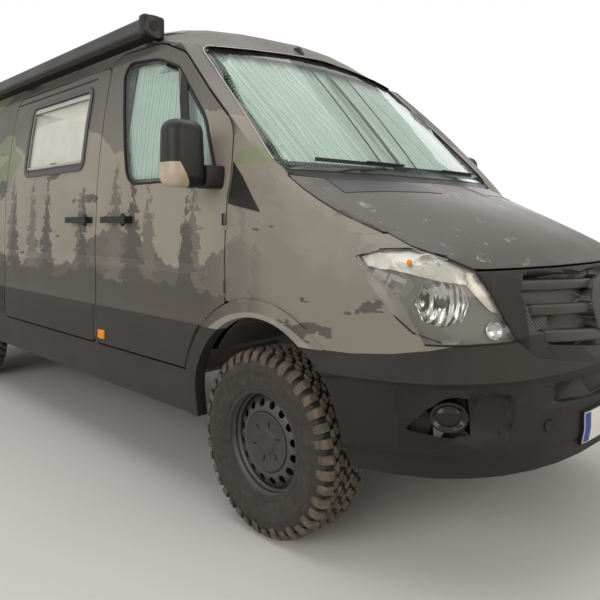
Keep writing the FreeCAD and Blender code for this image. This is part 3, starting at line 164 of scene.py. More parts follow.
def edit(piece, faces=None, edges=None, points=None):
    # into edit mode with what passes the test selected, or everything where there is no test
    choose(piece)
    bpy.ops.object.mode_set(mode="EDIT")
    bpy.ops.mesh.select_all(action="DESELECT")
    mode = "FACE" if faces else "EDGE" if edges else "VERT"
    bpy.ops.mesh.select_mode(type=mode)
    work = bmesh.from_edit_mesh(piece.data)
    group, test = ((work.faces, faces) if faces else (work.edges, edges) if edges
                   else (work.verts, points or (lambda point: True)))
    for item in group:
        item.select_set(bool(test(item)))
    work.select_flush_mode()
    bmesh.update_edit_mesh(piece.data)


def done():
    bpy.ops.object.mode_set(mode="OBJECT")


def change(piece, kind, **settings):
    # adds a modifier and applies it
    choose(piece)
    modifier = piece.modifiers.new(kind.lower(), kind)
    for name, value in settings.items():
        setattr(modifier, name, value)
    bpy.ops.object.modifier_apply(modifier=modifier.name)
    return piece


def rounded(piece, width, segments=2, angle=40):
    change(piece, "BEVEL", width=width, segments=segments, limit_method="ANGLE",
           angle_limit=math.radians(angle), use_clamp_overlap=True)
    return smooth(piece)


def smooth(piece, angle=35):
    choose(piece)
    bpy.ops.object.shade_smooth_by_angle(angle=math.radians(angle))
    return piece


def finishPiece(piece, body, finish):
    # material and body of a finished piece
    if finish:
        piece.data.materials.clear()
        piece.data.materials.append(finish)
    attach(piece, body)
    return piece


def copyOf(piece, name):
    twin = piece.copy()
    twin.data = piece.data.copy()
    twin.name = name
    bpy.context.scene.collection.objects.link(twin)
    twin.parent = None
    twin.hide_render = twin.hide_viewport = False
    for key in list(twin.keys()):
        del twin[key]
    return twin


def mergedNode(node, name, angle=28):
    # a copy of a node's surface with its loose triangles joined, so that it can be shaded smooth
    piece = copyOf(nodes[node], name)
    edit(piece)
    bpy.ops.mesh.remove_doubles(threshold=0.00003)
    done()
    return smooth(piece, angle)


def joinPieces(name, pieces):
    deselectAll()
    for piece in pieces:
        piece.select_set(True)
    bpy.context.view_layer.objects.active = pieces[0]
    bpy.ops.object.join()
    pieces[0].name = name
    return pieces[0]


def flipOver(piece):
    # onto the other side of the van
    piece.data.transform(Matrix.Scale(-1, 4, (0, 1, 0)))
    edit(piece)
    bpy.ops.mesh.flip_normals()
    done()
    return piece


def insets(piece, faces, *steps, individual=False):
    # insets the chosen faces step by step, by thickness and depth
    edit(piece, faces=faces)
    for thickness, depth in steps:
        bpy.ops.mesh.inset(thickness=thickness, depth=depth, use_individual=individual)
    done()
    return piece


def pushed(*steps):
    # draws what is selected out, step by step
    for step in steps:
        bpy.ops.mesh.extrude_region_move(TRANSFORM_OT_translate={"value": step})


def standing(place, facing):
    # the turn and shift that stand a piece at a place, its top towards where it faces
    return Matrix.Translation(place) @ Vector(facing).to_track_quat("Z", "Y").to_matrix().to_4x4()


def cutBy(piece, cutters, crossing=False):
    # takes the cutters out of a piece; crossing is for cutters that run into each other
    cutter = joinPieces("cutters", cutters)
    change(piece, "BOOLEAN", operation="DIFFERENCE", object=cutter, solver="EXACT", use_self=crossing)
    bpy.data.objects.remove(cutter)


# ---- camera, light and floor

camera = {"place": (3.82045, -2.58473, 1.26112), "azimuth": 45.748, "elevation": 0.357,
          "roll": -0.185, "lens": 37.198, "shiftX": 0.01149, "shiftY": -0.12478}
frontAxle = 1.959
rearAxle = -1.706
axleHeight = 0.374

azimuth, elevation = math.radians(camera["azimuth"]), math.radians(camera["elevation"])
looking = Vector((-math.sin(azimuth) * math.cos(elevation), math.cos(azimuth) * math.cos(elevation),
                  -math.sin(elevation)))
cameraData = bpy.data.cameras.new("photoCamera")
cameraData.sensor_width = 36
cameraData.lens = camera["lens"]
cameraData.shift_x, cameraData.shift_y = camera["shiftX"], camera["shiftY"]
cameraObject = bpy.data.objects.new("photoCamera", cameraData)
bpy.context.scene.collection.objects.link(cameraObject)
turn = looking.to_track_quat("-Z", "Y").to_matrix().to_4x4()
cameraObject.matrix_world = (Matrix.Translation(camera["place"]) @ turn
                             @ Matrix.Rotation(math.radians(camera["roll"]), 4, "Z"))
bpy.context.scene.camera = cameraObject
bpy.context.scene.view_settings.view_transform = "Standard"


def addLamp(name, place, size, power, colour="#FFFFFF"):
    data = bpy.data.lights.new(name, "AREA")
    data.shape = "RECTANGLE"
    data.size, data.size_y = size
    data.energy = power
    data.color = linear(colour)[:3]
    lamp = bpy.data.objects.new(name, data)
    bpy.context.scene.collection.objects.link(lamp)
    lamp.location = place
    lamp.rotation_euler = (Vector((0, 0, 1)) - Vector(place)).to_track_quat("-Z", "Y").to_euler()


lamps = [  # place, size, watts, colour
    ("ceilingLamp", (0.5, 0, 7.5), (9, 6), 230, "#FFFFFF"),
    ("sideLamp", (3.0, -9, 4.0), (8, 4), 300, "#FFFDFA"),
    ("noseLamp", (10, 1, 4.0), (6, 4), 190, "#FFF1E2"),
    ("farLamp", (-4, 9, 4.5), (8, 4), 200, "#FFFFFF"),
]
for name, place, size, power, colour in lamps:
    addLamp(name, place, size, power, colour)

studioLook = {"sky": "#E6E6E4", "skyStrength": 0.42, "backdrop": "#FFFFFF",
              "floorDark": "#E4E3E0", "floorPale": "#E8E7E4", "floorSize": 60}
world = bpy.data.worlds.new("studio")
bpy.context.scene.world = world
sky = clearTree(world)
path = addNode(sky, "LightPath")
seen = calc("MAXIMUM", path.outputs["Is Camera Ray"],
            calc("MAXIMUM", path.outputs["Is Glossy Ray"], path.outputs["Is Transmission Ray"]))
studio = addNode(sky, "Background", {"Color": linear(studioLook["sky"]),
                                   "Strength": studioLook["skyStrength"]})
backdrop = addNode(sky, "Background", {"Color": linear(studioLook["backdrop"]), "Strength": 1.0})
either = addNode(sky, "MixShader", {0: seen, 1: studio.outputs[0], 2: backdrop.outputs[0]})
addNode(sky, "OutputWorld", {"Surface": either.outputs[0]})

floor = start("plane", "studioFloor", size=studioLook["floorSize"], location=(0, 0, -0.001))
finish, shader, place = startFinish("paleFloor", Roughness=0.9)
feed(shader, "Base Color", stops(noise(place, 0.6), (0.3, studioLook["floorDark"]),
                                 (0.7, studioLook["floorPale"])))
shader.inputs["Specular IOR Level"].default_value = 0.1
floor.data.materials.append(finish)
print("camera, lamps and floor set")


# ---- finishes

def axes(place):
    parts = addNode(place.id_data, "SeparateXYZ", {"Vector": place})
    return parts.outputs["X"], parts.outputs["Y"], parts.outputs["Z"]


film = {  # printed vinyl film: colours from the roof down, sizes in metres
    "roof": "#4F4C45", "top": "#67625A", "wall": "#857F73", "mist": "#968F81", "hills": "#615C52",
    "foot": "#4C4841", "trees": "#4F4B43", "farTrees": "#6E685D", "green": "#7C8364", "dust": "#8D8068",
    "flare": "#9C968A", "sill": "#2B2722", "grey": "#5E5950",
    "mistCrest": 1.72, "hillCrest": 1.10, "footCrest": 0.97, "treeFoot": 0.84, "treeTall": 1.00,
    "crease": 1.075, "creaseFoot": 1.030, "creaseDepth": 0.020, "peelDepth": 0.00002,
    "sideFrom": 0.78, "greenFrom": 1.5, "sillTop": 0.606, "frontSillRise": 0.20, "frontSillFrom": 1.30,
    "flareRadius": 0.525, "flareFoot": 0.72, "branch": 0.085,
}


def crest(along, height, swing, perMetre, spikes, seed):
    # the height of one row of hills at a distance along the side
    at = addNode(along.id_data, "CombineXYZ", {"X": along, "Y": seed, "Z": 0.0}).outputs[0]
    wide = levels(noise(at, perMetre, 2.0), 0.3, 0.7, height - swing, height + swing)
    return calc("ADD", wide, levels(noise(at, perMetre * 9, 4.0, 0.75), 0.3, 0.7, -spikes, spikes))


def spruces(place, along, up, spacing, foot, tall, seed):
    # a row of spruce silhouettes: 1 inside a tree and 0 between them
    run = calc("ADD", calc("DIVIDE", along, spacing), seed)
    cell = calc("FLOOR", run)
    pick = addNode(place.id_data, "TexWhiteNoise", {"W": cell}, noise_dimensions="1D").outputs["Value"]
    shift = levels(pick, 0, 1, 0.35, 0.65)
    off = times(calc("ABSOLUTE", calc("SUBTRACT", calc("SUBTRACT", run, cell), shift)), spacing)
    depth = calc("SUBTRACT", levels(pick, 0, 1, foot + 0.42 * tall, foot + tall), up)
    branch = calc("FRACT", calc("DIVIDE", depth, film["branch"]))
    wide = times(depth, levels(branch, 0, 1, 0.10, 0.235))
    ragged = levels(noise(place, 26, 4.0, 0.75, (1.0, 0.1, 0.7)), 0.3, 0.7, -0.045, 0.035)
    inside = calc("LESS_THAN", off, calc("ADD", calc("ADD", wide, 0.006), ragged))
    return times(inside, calc("GREATER_THAN", depth, 0.0))


def filmFinish(name):
    # matt vinyl film laid on enamel: wide low sheen, orange peel of a few millimetres, road dust low down
    finish, shader, place = startFinish(name, Roughness=0.55)
    shader.inputs["Specular IOR Level"].default_value = 0.45
    along, across, up = axes(place)
    side = calc("GREATER_THAN", calc("ABSOLUTE", across), film["sideFrom"])
    printed = times(side, levels(along, frontAxle - 0.35, frontAxle + 0.1, 1.0, 0.0))
    colour = stops(levels(up, 0.4, 2.4), (0.0, film["wall"]), (0.52, film["wall"]), (0.72, film["top"]),
                   (0.96, film["roof"]))
    for height, swing, perMetre, spikes, seed, code in (
            (film["mistCrest"], 0.20, 0.9, 0.02, 3.0, film["mist"]),
            (film["hillCrest"], 0.16, 1.3, 0.03, 9.0, film["hills"])):
        line = crest(along, height, swing, perMetre, spikes, seed)
        colour = mixed(times(calc("LESS_THAN", up, line), printed), colour, code)
    blots = levels(noise(place, 1.25, 2.0, 0.5, (1.0, 0.3, 1.5)), 0.625, 0.63)
    colour = mixed(times(blots, calc("GREATER_THAN", up, film["greenFrom"])), colour, film["green"])
    shade = noise(place, 1.1, 6.0, 0.62, (0.8, 0.3, 1.9))
    colour = mixed(levels(shade, 0.60, 0.604), colour, film["roof"])
    for spacing, foot, tall, seed, code in (
            (0.36, film["treeFoot"], film["treeTall"] * 0.8, 4.3, film["farTrees"]),
            (0.52, film["treeFoot"] - 0.1, film["treeTall"], 8.6, film["trees"])):
        trees = spruces(place, along, up, spacing, foot, tall, seed)
        colour = mixed(times(trees, printed), colour, code)
    line = crest(along, film["footCrest"], 0.05, 1.5, 0.03, 17.0)
    colour = mixed(times(calc("LESS_THAN", up, line), printed), colour, film["foot"])
    # the upper part of the flare round the front wheel painted paler: a painted highlight where its top
    # faces catch the light
    ahead = calc("POWER", calc("ABSOLUTE", calc("SUBTRACT", along, frontAxle)), 2.0)
    above = calc("POWER", calc("ABSOLUTE", calc("SUBTRACT", up, axleHeight)), 2.0)
    ring = calc("LESS_THAN", calc("ADD", ahead, above), film["flareRadius"] ** 2)
    flare = times(ring, side, calc("GREATER_THAN", up, film["flareFoot"]))
    colour = mixed(times(flare, 0.8), colour, film["flare"])
    dust = times(levels(up, 0.95, 0.45), noise(place, 6, 4.0, 0.6))
    colour = mixed(times(dust, 0.35), colour, film["dust"])
    cloud = noise(place, 3.0, 3.0)
    colour = mixed(levels(cloud, 0.35, 0.75, 0, 0.14), colour, film["grey"])
    # the dark sill, which stands higher between the cab door and the front wheel
    frontSill = times(calc("GREATER_THAN", along, film["frontSillFrom"]),
                      calc("LESS_THAN", along, frontAxle - 0.05))
    sill = calc("ADD", times(frontSill, film["frontSillRise"]), film["sillTop"])
    feed(shader, "Base Color", mixed(times(calc("LESS_THAN", up, sill), side), colour, film["sill"]))
    feed(shader, "Roughness", levels(cloud, 0.3, 0.7, 0.46, 0.60))
    # the pressed crease along the doors, whose upper edge catches the light, and the orange peel
    shelf = times(levels(up, film["creaseFoot"], film["crease"], 1.0, 0.0), side,
                  calc("LESS_THAN", along, frontAxle - 0.3))
    peel = times(noise(place, 260, 2.0), film["peelDepth"])
    bump(shader, calc("ADD", times(shelf, film["creaseDepth"]), peel), 1.0, 1.0)
    return finish


def bonnetFinish():
    # the same film in near black, scuffed pale where the wind and grit have worn it
    finish, shader, place = startFinish("matteFilmWorn", Roughness=0.55)
    cloud = noise(place, 2.2, 3.0)
    scuff = levels(noise(place, 9, 5.0, 0.62, (1.0, 1.3, 1.0)), 0.615, 0.655)
    worn = times(scuff, levels(noise(place, 46, 3.0, 0.7), 0.42, 0.56))
    colour = stops(cloud, (0.3, "#3F3A33"), (0.7, "#4D463D"))
    feed(shader, "Base Color", mixed(times(worn, 0.75), colour, "#A69C8E"))
    feed(shader, "Roughness", levels(cloud, 0.3, 0.7, 0.42, 0.56))
    bump(shader, noise(place, 300, 2.0), 0.08, 0.0003)
    return finish


def plasticFinish(name, code, paler, roughness, grain=900.0, depth=0.0003):
    # moulded plastic: leather grain of about a millimetre, greyed by weather
    finish, shader, place = startFinish(name, Roughness=roughness)
    shader.inputs["Specular IOR Level"].default_value = 0.32
    cloud = noise(place, 4.0, 4.0, 0.6)
    feed(shader, "Base Color", stops(cloud, (0.35, code), (0.72, paler)))
    feed(shader, "Roughness", levels(cloud, 0.3, 0.7, roughness - 0.06, roughness + 0.08))
    bump(shader, noise(place, grain, 2.0), 0.25, depth)
    return finish


def metalFinish(name, code, paler, metallic, roughness, patch=5.0, depth=0.0003):
    # painted or bare metal, a little uneven in shade and shine
    finish, shader, place = startFinish(name, Metallic=metallic, Roughness=roughness)
    cloud = noise(place, patch, 5.0, 0.62)
    feed(shader, "Base Color", stops(cloud, (0.35, code), (0.7, paler)))
    feed(shader, "Roughness", levels(cloud, 0.3, 0.7, roughness - 0.08, roughness + 0.1))
    bump(shader, noise(place, 420, 3.0), 0.15, depth)
    return finish


def clearFinish(name, code, roughness, thin):
    # thin glass: see through, with the shine of its surface and a faint film of dust
    finish = bpy.data.materials.new(name)
    tree = clearTree(finish)
    place = addNode(tree, "TexCoord").outputs["Object"]
    dust = levels(noise(place, 7.0, 4.0, 0.6), 0.3, 0.8, 0.02, 0.09)
    through = addNode(tree, "BsdfTransparent", {"Color": linear(code)})
    shine = addNode(tree, "BsdfGlossy", {"Color": linear("#FFFFFF"), "Roughness": roughness})
    veil = addNode(tree, "BsdfDiffuse", {"Color": linear("#C9C6BC")})
    outside = calc("SUBTRACT", 1.0, addNode(tree, "NewGeometry").outputs["Backfacing"])
    strength = times(addNode(tree, "Fresnel", {"IOR": 1.5}).outputs[0], thin, outside)
    glossy = addNode(tree, "MixShader", {0: strength, 1: through.outputs[0], 2: shine.outputs[0]})
    both = addNode(tree, "MixShader", {0: dust, 1: glossy.outputs[0], 2: veil.outputs[0]})
    addNode(tree, "OutputMaterial", {"Surface": both.outputs[0]})
    return finish


def rubberFinish(name, code, paler, mudShare):
    # natural and carbon black rubber, greyed, with dried mud on the blocks
    finish, shader, place = startFinish(name, Roughness=0.8)
    cloud = noise(place, 11, 5.0, 0.6)
    colour = stops(cloud, (0.35, code), (0.7, paler))
    mud = noise(place, 34, 5.0, 0.68)
    colour = mixed(levels(mud, 0.45, 0.70, 0.0, mudShare), colour, "#8C7A64")
    feed(shader, "Base Color", colour)
    bump(shader, noise(place, 210, 4.0, 0.6), 0.4, 0.0008)
    return finish


def weaveFinish(name, code, paler, threadMillimetres):
    # plain weave: threads up and along, drawn coarse enough to show
    finish, shader, place = startFinish(name, Roughness=0.9)
    threads = [addNode(place.id_data, "TexWave", {
        "Vector": place, "Scale": 160 / threadMillimetres, "Distortion": 1.5, "Detail": 2.0},
        bands_direction=direction).outputs["Fac"] for direction in ("X", "Z")]
    cloth = times(*threads)
    colour = stops(noise(place, 8.0, 4.0), (0.3, code), (0.7, paler))
    feed(shader, "Base Color", mixed(levels(cloth, 0, 1, 0.25, 0), colour, code))
    bump(shader, cloth, 0.4, 0.0008)
    return finish


def waveAlong(run, pitchMillimetres):
    return calc("SINE", times(run, 2000 * math.pi / pitchMillimetres))


def pleatShadeFinish(name, direction, pitchMillimetres):
    # pleated polyester: the inside of each fold is painted a little darker as painted shade; direction is 0
    # along X and 1 along Y
    finish, shader, place = startFinish(name, Roughness=0.9)
    fold = waveAlong(axes(place)[direction], pitchMillimetres)
    colour = stops(noise(place, 3.0, 3.0), (0.3, "#BCD3C7"), (0.7, "#C8DDD2"))
    feed(shader, "Base Color", mixed(levels(fold, 0.1, 0.95, 0, 0.8), colour, "#98B1A5"))
    bump(shader, noise(place, 700, 2.0), 0.2, 0.0002)
    return finish


def dotFinish(name, code, under, pitchMillimetres, least):
    # round dots in rows, larger for a lower least: printed on glass, or punched through sheet
    finish, shader, place = startFinish(name, Roughness=0.45)
    along, across, up = axes(place)
    rows = waveAlong(up, pitchMillimetres / 1.15)
    dots = calc("GREATER_THAN", times(rows, waveAlong(across, pitchMillimetres)), least)
    colour = stops(noise(place, 7.0, 3.0), (0.3, under), (0.7, code))
    feed(shader, "Base Color", mixed(dots, colour, "#0B0A0A"))
    return finish, shader, dots


def printedDots():
    # ceramic dots on clear glass, between the black border and the clear middle
    finish, shader, dots = dotFinish("printedGlassDots", "#171716", "#171716", 15.0, 0.05)
    tree = finish.node_tree
    through = addNode(tree, "BsdfTransparent", {"Color": linear("#DDEBE2")})
    both = addNode(tree, "MixShader", {0: dots, 1: through.outputs[0], 2: shader.outputs[0]})
    feed([node for node in tree.nodes if node.type == "OUTPUT_MATERIAL"][0], "Surface", both.outputs[0])
    return finish


def flutedFinish():
    # vacuum metallised bowl with upright flutes
    finish, shader, place = startFinish("flutedReflector", Metallic=1.0, Roughness=0.10)
    flutes = addNode(place.id_data, "TexWave", {"Vector": place, "Scale": 15.0, "Distortion": 2.5},
                     bands_direction="X").outputs["Fac"]
    feed(shader, "Base Color", stops(noise(place, 30, 2.0), (0.3, "#D3D1CC"), (0.7, "#EDEBE6")))
    bump(shader, flutes, 0.7, 0.006)
    return finish


bodyFilm = filmFinish("matteFilmPrinted")
bonnetFilm = bonnetFinish()
bumperPlastic = plasticFinish("mouldedPolypropylene", "#1C1A18", "#262321", 0.62)
# paler plastic for the bumper shelf: a painted highlight where the shelf faces the light from above
shelfPaintedHighlight = plasticFinish("sunBleachedPolypropylene", "#2A2826", "#383532", 0.62)
trimPlastic = plasticFinish("satinBlackPlastic", "#151413", "#1E1C1B", 0.5)
stripPlastic = plasticFinish("weatheredStripPlastic", "#302D2A", "#3B3834", 0.55)
windowFrame = plasticFinish("polyurethaneFrame", "#3A3938", "#4A4947", 0.4)
sealRubber = plasticFinish("doorSealRubber", "#151413", "#1D1B1A", 0.7)
clearGlass = clearFinish("temperedGlass", "#FAFCFB", 0.02, 0.45)
lampGlass = clearFinish("clearPolycarbonate", "#F4F5F4", 0.03, 1.0)
tyreRubber = rubberFinish("tyreRubber", "#2C2A27", "#373330", 0.12)
treadRubber = rubberFinish("dustyTreadRubber", "#453F39", "#5E554A", 0.6)
treadGapPaintedShade = rubberFinish("shadedTreadFloor", "#0E0D0C", "#171513", 0.1)
rimSteel = metalFinish("paintedWheelSteel", "#4A4745", "#5C5956", 0.35, 0.45)
chassisBlack = metalFinish("waxedChassisSteel", "#1F1D1B", "#3A332B", 0.2, 0.6)
floorSteel = metalFinish("primedFloorSteel", "#55534F", "#6A665F", 0.2, 0.55)
castMetal = metalFinish("castIronAndAlloy", "#4A4947", "#5E5B56", 0.7, 0.5)
exhaustSteel = metalFinish("heatStainedSteel", "#6B6157", "#8B7A68", 0.9, 0.42)
awningMetal = metalFinish("powderCoatedAluminium", "#2C2A27", "#383531", 0.25, 0.5, 2.0, 0.0001)
brightMetal = metalFinish("anodisedAluminium", "#A8A49C", "#B9B5AD", 0.9, 0.35, 3.0, 0.0001)
mirrorSilver = metalFinish("silveredReflector", "#D8D8D6", "#EDEDEA", 1.0, 0.12, 2.0, 0.0001)
tailLens = plasticFinish("redAcrylic", "#7A120E", "#8E1812", 0.18, 300, 0.0001)
amberLens = plasticFinish("amberAcrylic", "#F08A10", "#F59A1C", 0.2, 300, 0.0001)
whitePlastic = plasticFinish("whiteEnamelPlate", "#D9D8D2", "#E4E3DE", 0.4, 300, 0.0001)
bluePlastic = plasticFinish("blueEnamelStrip", "#24418C", "#2B4A99", 0.4, 300, 0.0001)
seatFabric = weaveFinish("wovenSeatCloth", "#2A2A2C", "#39393B", 3.0)
blindCloth = pleatShadeFinish("pleatedBlindAcross", 1, 22.2)
doorBlindCloth = pleatShadeFinish("pleatedBlindAlong", 0, 22.2)
windowCloth = weaveFinish("creamBlindCloth", "#EEE6DC", "#F6F0E8", 8.0)
sealPrint = plasticFinish("ceramicPrintOnGlass", "#141414", "#1B1B1A", 0.16, 300, 0.0001)
dotPrint = printedDots()
shadePrint = clearFinish("tintedGlassBand", "#3A3C3A", 0.04, 1.0)
ventMesh = dotFinish("ventGrid", "#1A1918", "#121110", 26.0, -0.25)[0]
perforated = dotFinish("perforatedSheet", "#4A4640", "#3E3B36", 17.0, -0.05)[0]
slatPlastic = plasticFinish("satinSlatPlastic", "#3B3835", "#45423E", 0.38)
bezelPlastic = plasticFinish("greyBezelPlastic", "#7E7A72", "#8D8980", 0.22, 900, 0.00005)
silverStrip = metalFinish("satinSilverCoating", "#E0D9CD", "#EFE9DF", 0.4, 0.30, 9.0, 0.0001)
flutedReflector = flutedFinish()
smokedLens = plasticFinish("smokedPolycarbonate", "#1B1A19", "#2A2826", 0.10, 200, 0.0001)
lampGlassPale = plasticFinish("frostedRepeaterLens", "#AFA08C", "#C2B5A3", 0.18, 200, 0.0001)
capPlastic = plasticFinish("greyCapPlastic", "#3D3A38", "#494643", 0.5)
mirrorPlastic = plasticFinish("grainedMirrorShell", "#171615", "#201F1D", 0.45)
# near black for the underside and inner side of the awning cassette: painted shade
awningPaintedShade = metalFinish("shadedCassetteSide", "#100F0E", "#181716", 0.1, 0.6, 2.0, 0.0001)
print("finishes made")

finishOf = {
    "body_paint": bodyFilm, "bonnet_film": bonnetFilm, "bumper_plastic": bumperPlastic,
    "trim_plastic": trimPlastic, "window_frame": windowFrame, "glass": clearGlass,
    "lamp_lens": lampGlass, "tail_lens": tailLens, "tyre_rubber": tyreRubber,
    "rim_steel": rimSteel, "chassis_black": chassisBlack, "floor_steel": floorSteel,
    "cast_metal": castMetal, "exhaust_steel": exhaustSteel, "awning_metal": awningMetal,
    "seat_fabric": seatFabric,
}
slotOf = {row["node"]: row["material_slot"] for row in frame["record"]["subparts"]}
bodyOf = {node: body for body, members in frame["record"]["behaviour"]["bodies"].items()
          for node in members}

for name, node in nodes.items():
    node.data.materials.clear()
    node.data.materials.append(finishOf[slotOf[name]])


def paintFaces(piece, finish, test):
    # a second finish for the faces that pass the test
    piece.data.materials.append(finish)
    number = len(piece.data.materials) - 1
    for face in piece.data.polygons:
        if test(face.center, face.normal):
            face.material_index = number


def cutAway(piece, place, beyond):
    # removes what lies on the far side of a plane
    edit(piece)
    bpy.ops.mesh.bisect(plane_co=place, plane_no=beyond, clear_outer=True)
    done()


def keep(**limits):
    # cutting planes: low, high, back, front, right and left are what lies inside
    ways = {"low": (0, 0, -1), "high": (0, 0, 1), "back": (-1, 0, 0), "front": (1, 0, 0),
            "right": (0, -1, 0), "left": (0, 1, 0)}
    return [([limit * abs(part) for part in ways[name]], ways[name]) for name, limit in limits.items()]


def patch(node, name, test, cuts=(), lift=0.0, thick=0.0):
    # a skin that follows a node's surface: faces chosen by a test, cut to size, lifted and thickened
    piece = mergedNode(node, name)
    edit(piece, faces=lambda face: not test(face.calc_center_median(), face.normal))
    bpy.ops.mesh.delete(type="FACE")
    done()
    for place, beyond in cuts:
        cutAway(piece, place, beyond)
    if lift:
        edit(piece)
        bpy.ops.transform.shrink_fatten(value=lift)
        done()
    if thick:
        change(piece, "SOLIDIFY", thickness=abs(thick), offset=1 if thick > 0 else -1)
    return smooth(piece)


def piping(node, name, test, radius):
    # a round strip along the chosen edges of a node
    piece = mergedNode(node, name + "Source")
    edit(piece, edges=test)
    bpy.ops.mesh.separate(type="SELECTED")
    done()
    strip = [item for item in bpy.context.selected_objects if item is not piece][0]
    bpy.data.objects.remove(piece)
    strip.name = name
    choose(strip)
    bpy.ops.object.convert(target="CURVE")
    strip.data.bevel_depth = radius
    strip.data.bevel_resolution = 2
    bpy.ops.object.convert(target="MESH")
    return smooth(strip, 60)


def spun(name, centre, profile, turns=96):
    # a profile of radius and distance along Y, drawn point by point and spun round the axle
    radius, reach = profile[0]
    piece = start("plane", name, size=0.001,
                  location=(centre[0] + radius, centre[1] + reach, centre[2]))
    edit(piece)
    bpy.ops.mesh.merge(type="CENTER")
    for nextRadius, nextReach in profile[1:]:
        bpy.ops.mesh.extrude_vertices_move(TRANSFORM_OT_translate={
            "value": (nextRadius - radius, nextReach - reach, 0)})
        radius, reach = nextRadius, nextReach
    bpy.ops.mesh.select_all(action="SELECT")
    bpy.ops.mesh.spin(steps=turns, angle=2 * math.pi, center=centre, axis=(0, 1, 0))
    bpy.ops.mesh.select_all(action="SELECT")
    bpy.ops.mesh.remove_doubles(threshold=0.00002)
    bpy.ops.mesh.normals_make_consistent(inside=False)
    done()
    return smooth(piece, 32)


def onBothSides(piece, name, body, finish, replaced=None):
    # the piece made on the right, and its twin on the left
    piece.name = name + "Right"
    right = finishPiece(piece, body.replace("SIDE", "right"), finish)
    left = finishPiece(flipOver(copyOf(right, name + "Left")), body.replace("SIDE", "left"), None)
    if replaced:
        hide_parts(replaced + "right")
        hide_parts(replaced + "left")


def dress(node, bevel=0.0):
    # the node's own surface, joined, smooth and in its finish
    piece = mergedNode(node, node + "Panel")
    if bevel:
        edit(piece)
        bpy.ops.mesh.dissolve_limited(angle_limit=math.radians(2))
        done()
        rounded(piece, bevel)
    change(piece, "WEIGHTED_NORMAL", keep_sharp=True)
    finishPiece(piece, bodyOf[node], finishOf[slotOf[node]])
    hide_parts(node)
    return piece


bothSides = ("right", "left")
plainNodes = [name + side for name in ("side_wall_", "wing_", "front_door_", "rear_door_", "tail_lamp_")
              for side in bothSides]
plainNodes += ["sliding_door", "bonnet", "roof_panel", "cowl", "front_bumper", "grille", "rear_bumper",
               "dashboard", "steering_wheel", "awning", "camper_window", "floor_pan", "fire_wall",
               "slam_panel"]
castNodes = {"chassis_frame": 0.003, "engine_block": 0.02, "exhaust": 0.002, "fuel_tank": 0.03,
             "front_suspension": 0.003, "rear_axle": 0.003, "propshaft": 0.002, "knuckle_left": 0.004,
             "knuckle_right": 0.004}
skin = {node: dress(node) for node in plainNodes}
skin.update({node: dress(node, bevel) for node, bevel in castNodes.items()})
print("panels dressed")


# ---- sides of the body: strips, seals, handles, marker, corner cover

sideBody = {  # heights and places in metres
    "stripLow": 0.605, "stripHigh": 0.8085, "stripFace": 0.9885, "gutter": 2.262, "groove": 2.085,
    "handle": 1.272, "handleFace": 0.9925, "cupFace": 0.9885, "frontCup": 1.035, "slideCup": 1.463,
    "marker": 0.657, "markerAt": 0.709, "markerFace": 1.003,
}


def onStrip(centre, normal):
    return abs(centre.y) > sideBody["stripFace"] and sideBody["stripLow"] < centre.z < sideBody["stripHigh"]


def onHandle(centre, normal):
    return abs(centre.y) > sideBody["handleFace"] and abs(centre.z - sideBody["handle"]) < 0.03


def inBar(centre, normal):
    # the upright bar in the door window leans back as it rises
    middle = frontAxle - 0.455 - (centre.z - 1.45) * 0.30
    return abs(centre.x - middle) < 0.045 and 1.452 < centre.z < 1.93


def inReveal(centre, normal):
    # the wall of the window opening in a cab door
    return (abs(normal.y) < 0.6 and 0.74 < centre.x < 1.71 and 1.43 < centre.z < 2.13
            and abs(centre.y) > 0.86)


def outwards(side, least, within=lambda centre: True):
    # a test for faces that look out to one side, within a region
    way = -1 if side == "right" else 1
    return lambda centre, normal: normal.y * way > least and within(centre)


def rimOf(test):
    # a test for the sharp edges round the faces that pass a test
    return lambda edge: (len(edge.link_faces) == 2 and edge.calc_face_angle(0) > 0.7
                         and any(test(None, face.normal) for face in edge.link_faces))


for node in ("front_door_right", "front_door_left", "sliding_door"):
    paintFaces(skin[node], stripPlastic, onStrip)
    paintFaces(skin[node], trimPlastic, onHandle)
for side in bothSides:
    paintFaces(skin["front_door_" + side], trimPlastic, inBar)
    paintFaces(skin["front_door_" + side], sealRubber, inReveal)
    node = "side_wall_" + side
    strip = patch(node, node + "Strip", outwards(side, 0.7, lambda centre: centre.x < 0.7),
                  keep(low=sideBody["stripLow"] + 0.002, high=sideBody["stripHigh"] - 0.0015, front=0.62),
                  thick=0.006)
    finishPiece(strip, "root", stripPlastic)
    # a bright metal strip along the roof gutter: a painted highlight where the crisp gutter edge catches the
    # light
    line = patch(node, node + "Gutter", outwards(side, 0.3, lambda centre: centre.z > 2.0),
                 keep(low=sideBody["gutter"], high=sideBody["gutter"] + 0.009, front=1.05, back=-2.80),
                 thick=0.007)
    finishPiece(line, "root", brightMetal)

groove = patch("sliding_door", "slidingDoorGroove", outwards("right", 0.7),
               keep(low=sideBody["groove"] - 0.005, high=sideBody["groove"] + 0.005, front=0.47),
               thick=0.0012)
finishPiece(groove, "root", sealRubber)
seal = piping("door_glass_right", "windowSeal", rimOf(outwards("right", 0.8)), 0.008)
onBothSides(seal, "windowSeal", "front_door_SIDE", sealRubber)


def handleCup(name, backFromAxle):
    # a dark flattened disc in the round hollow behind a door handle: painted shade in place of the hollow
    return smooth(start("uv_sphere", name, segments=32, ring_count=16, radius=1, scale=(0.030, 0.005, 0.035),
                        location=(frontAxle - backFromAxle, -sideBody["cupFace"], sideBody["handle"])), 60)


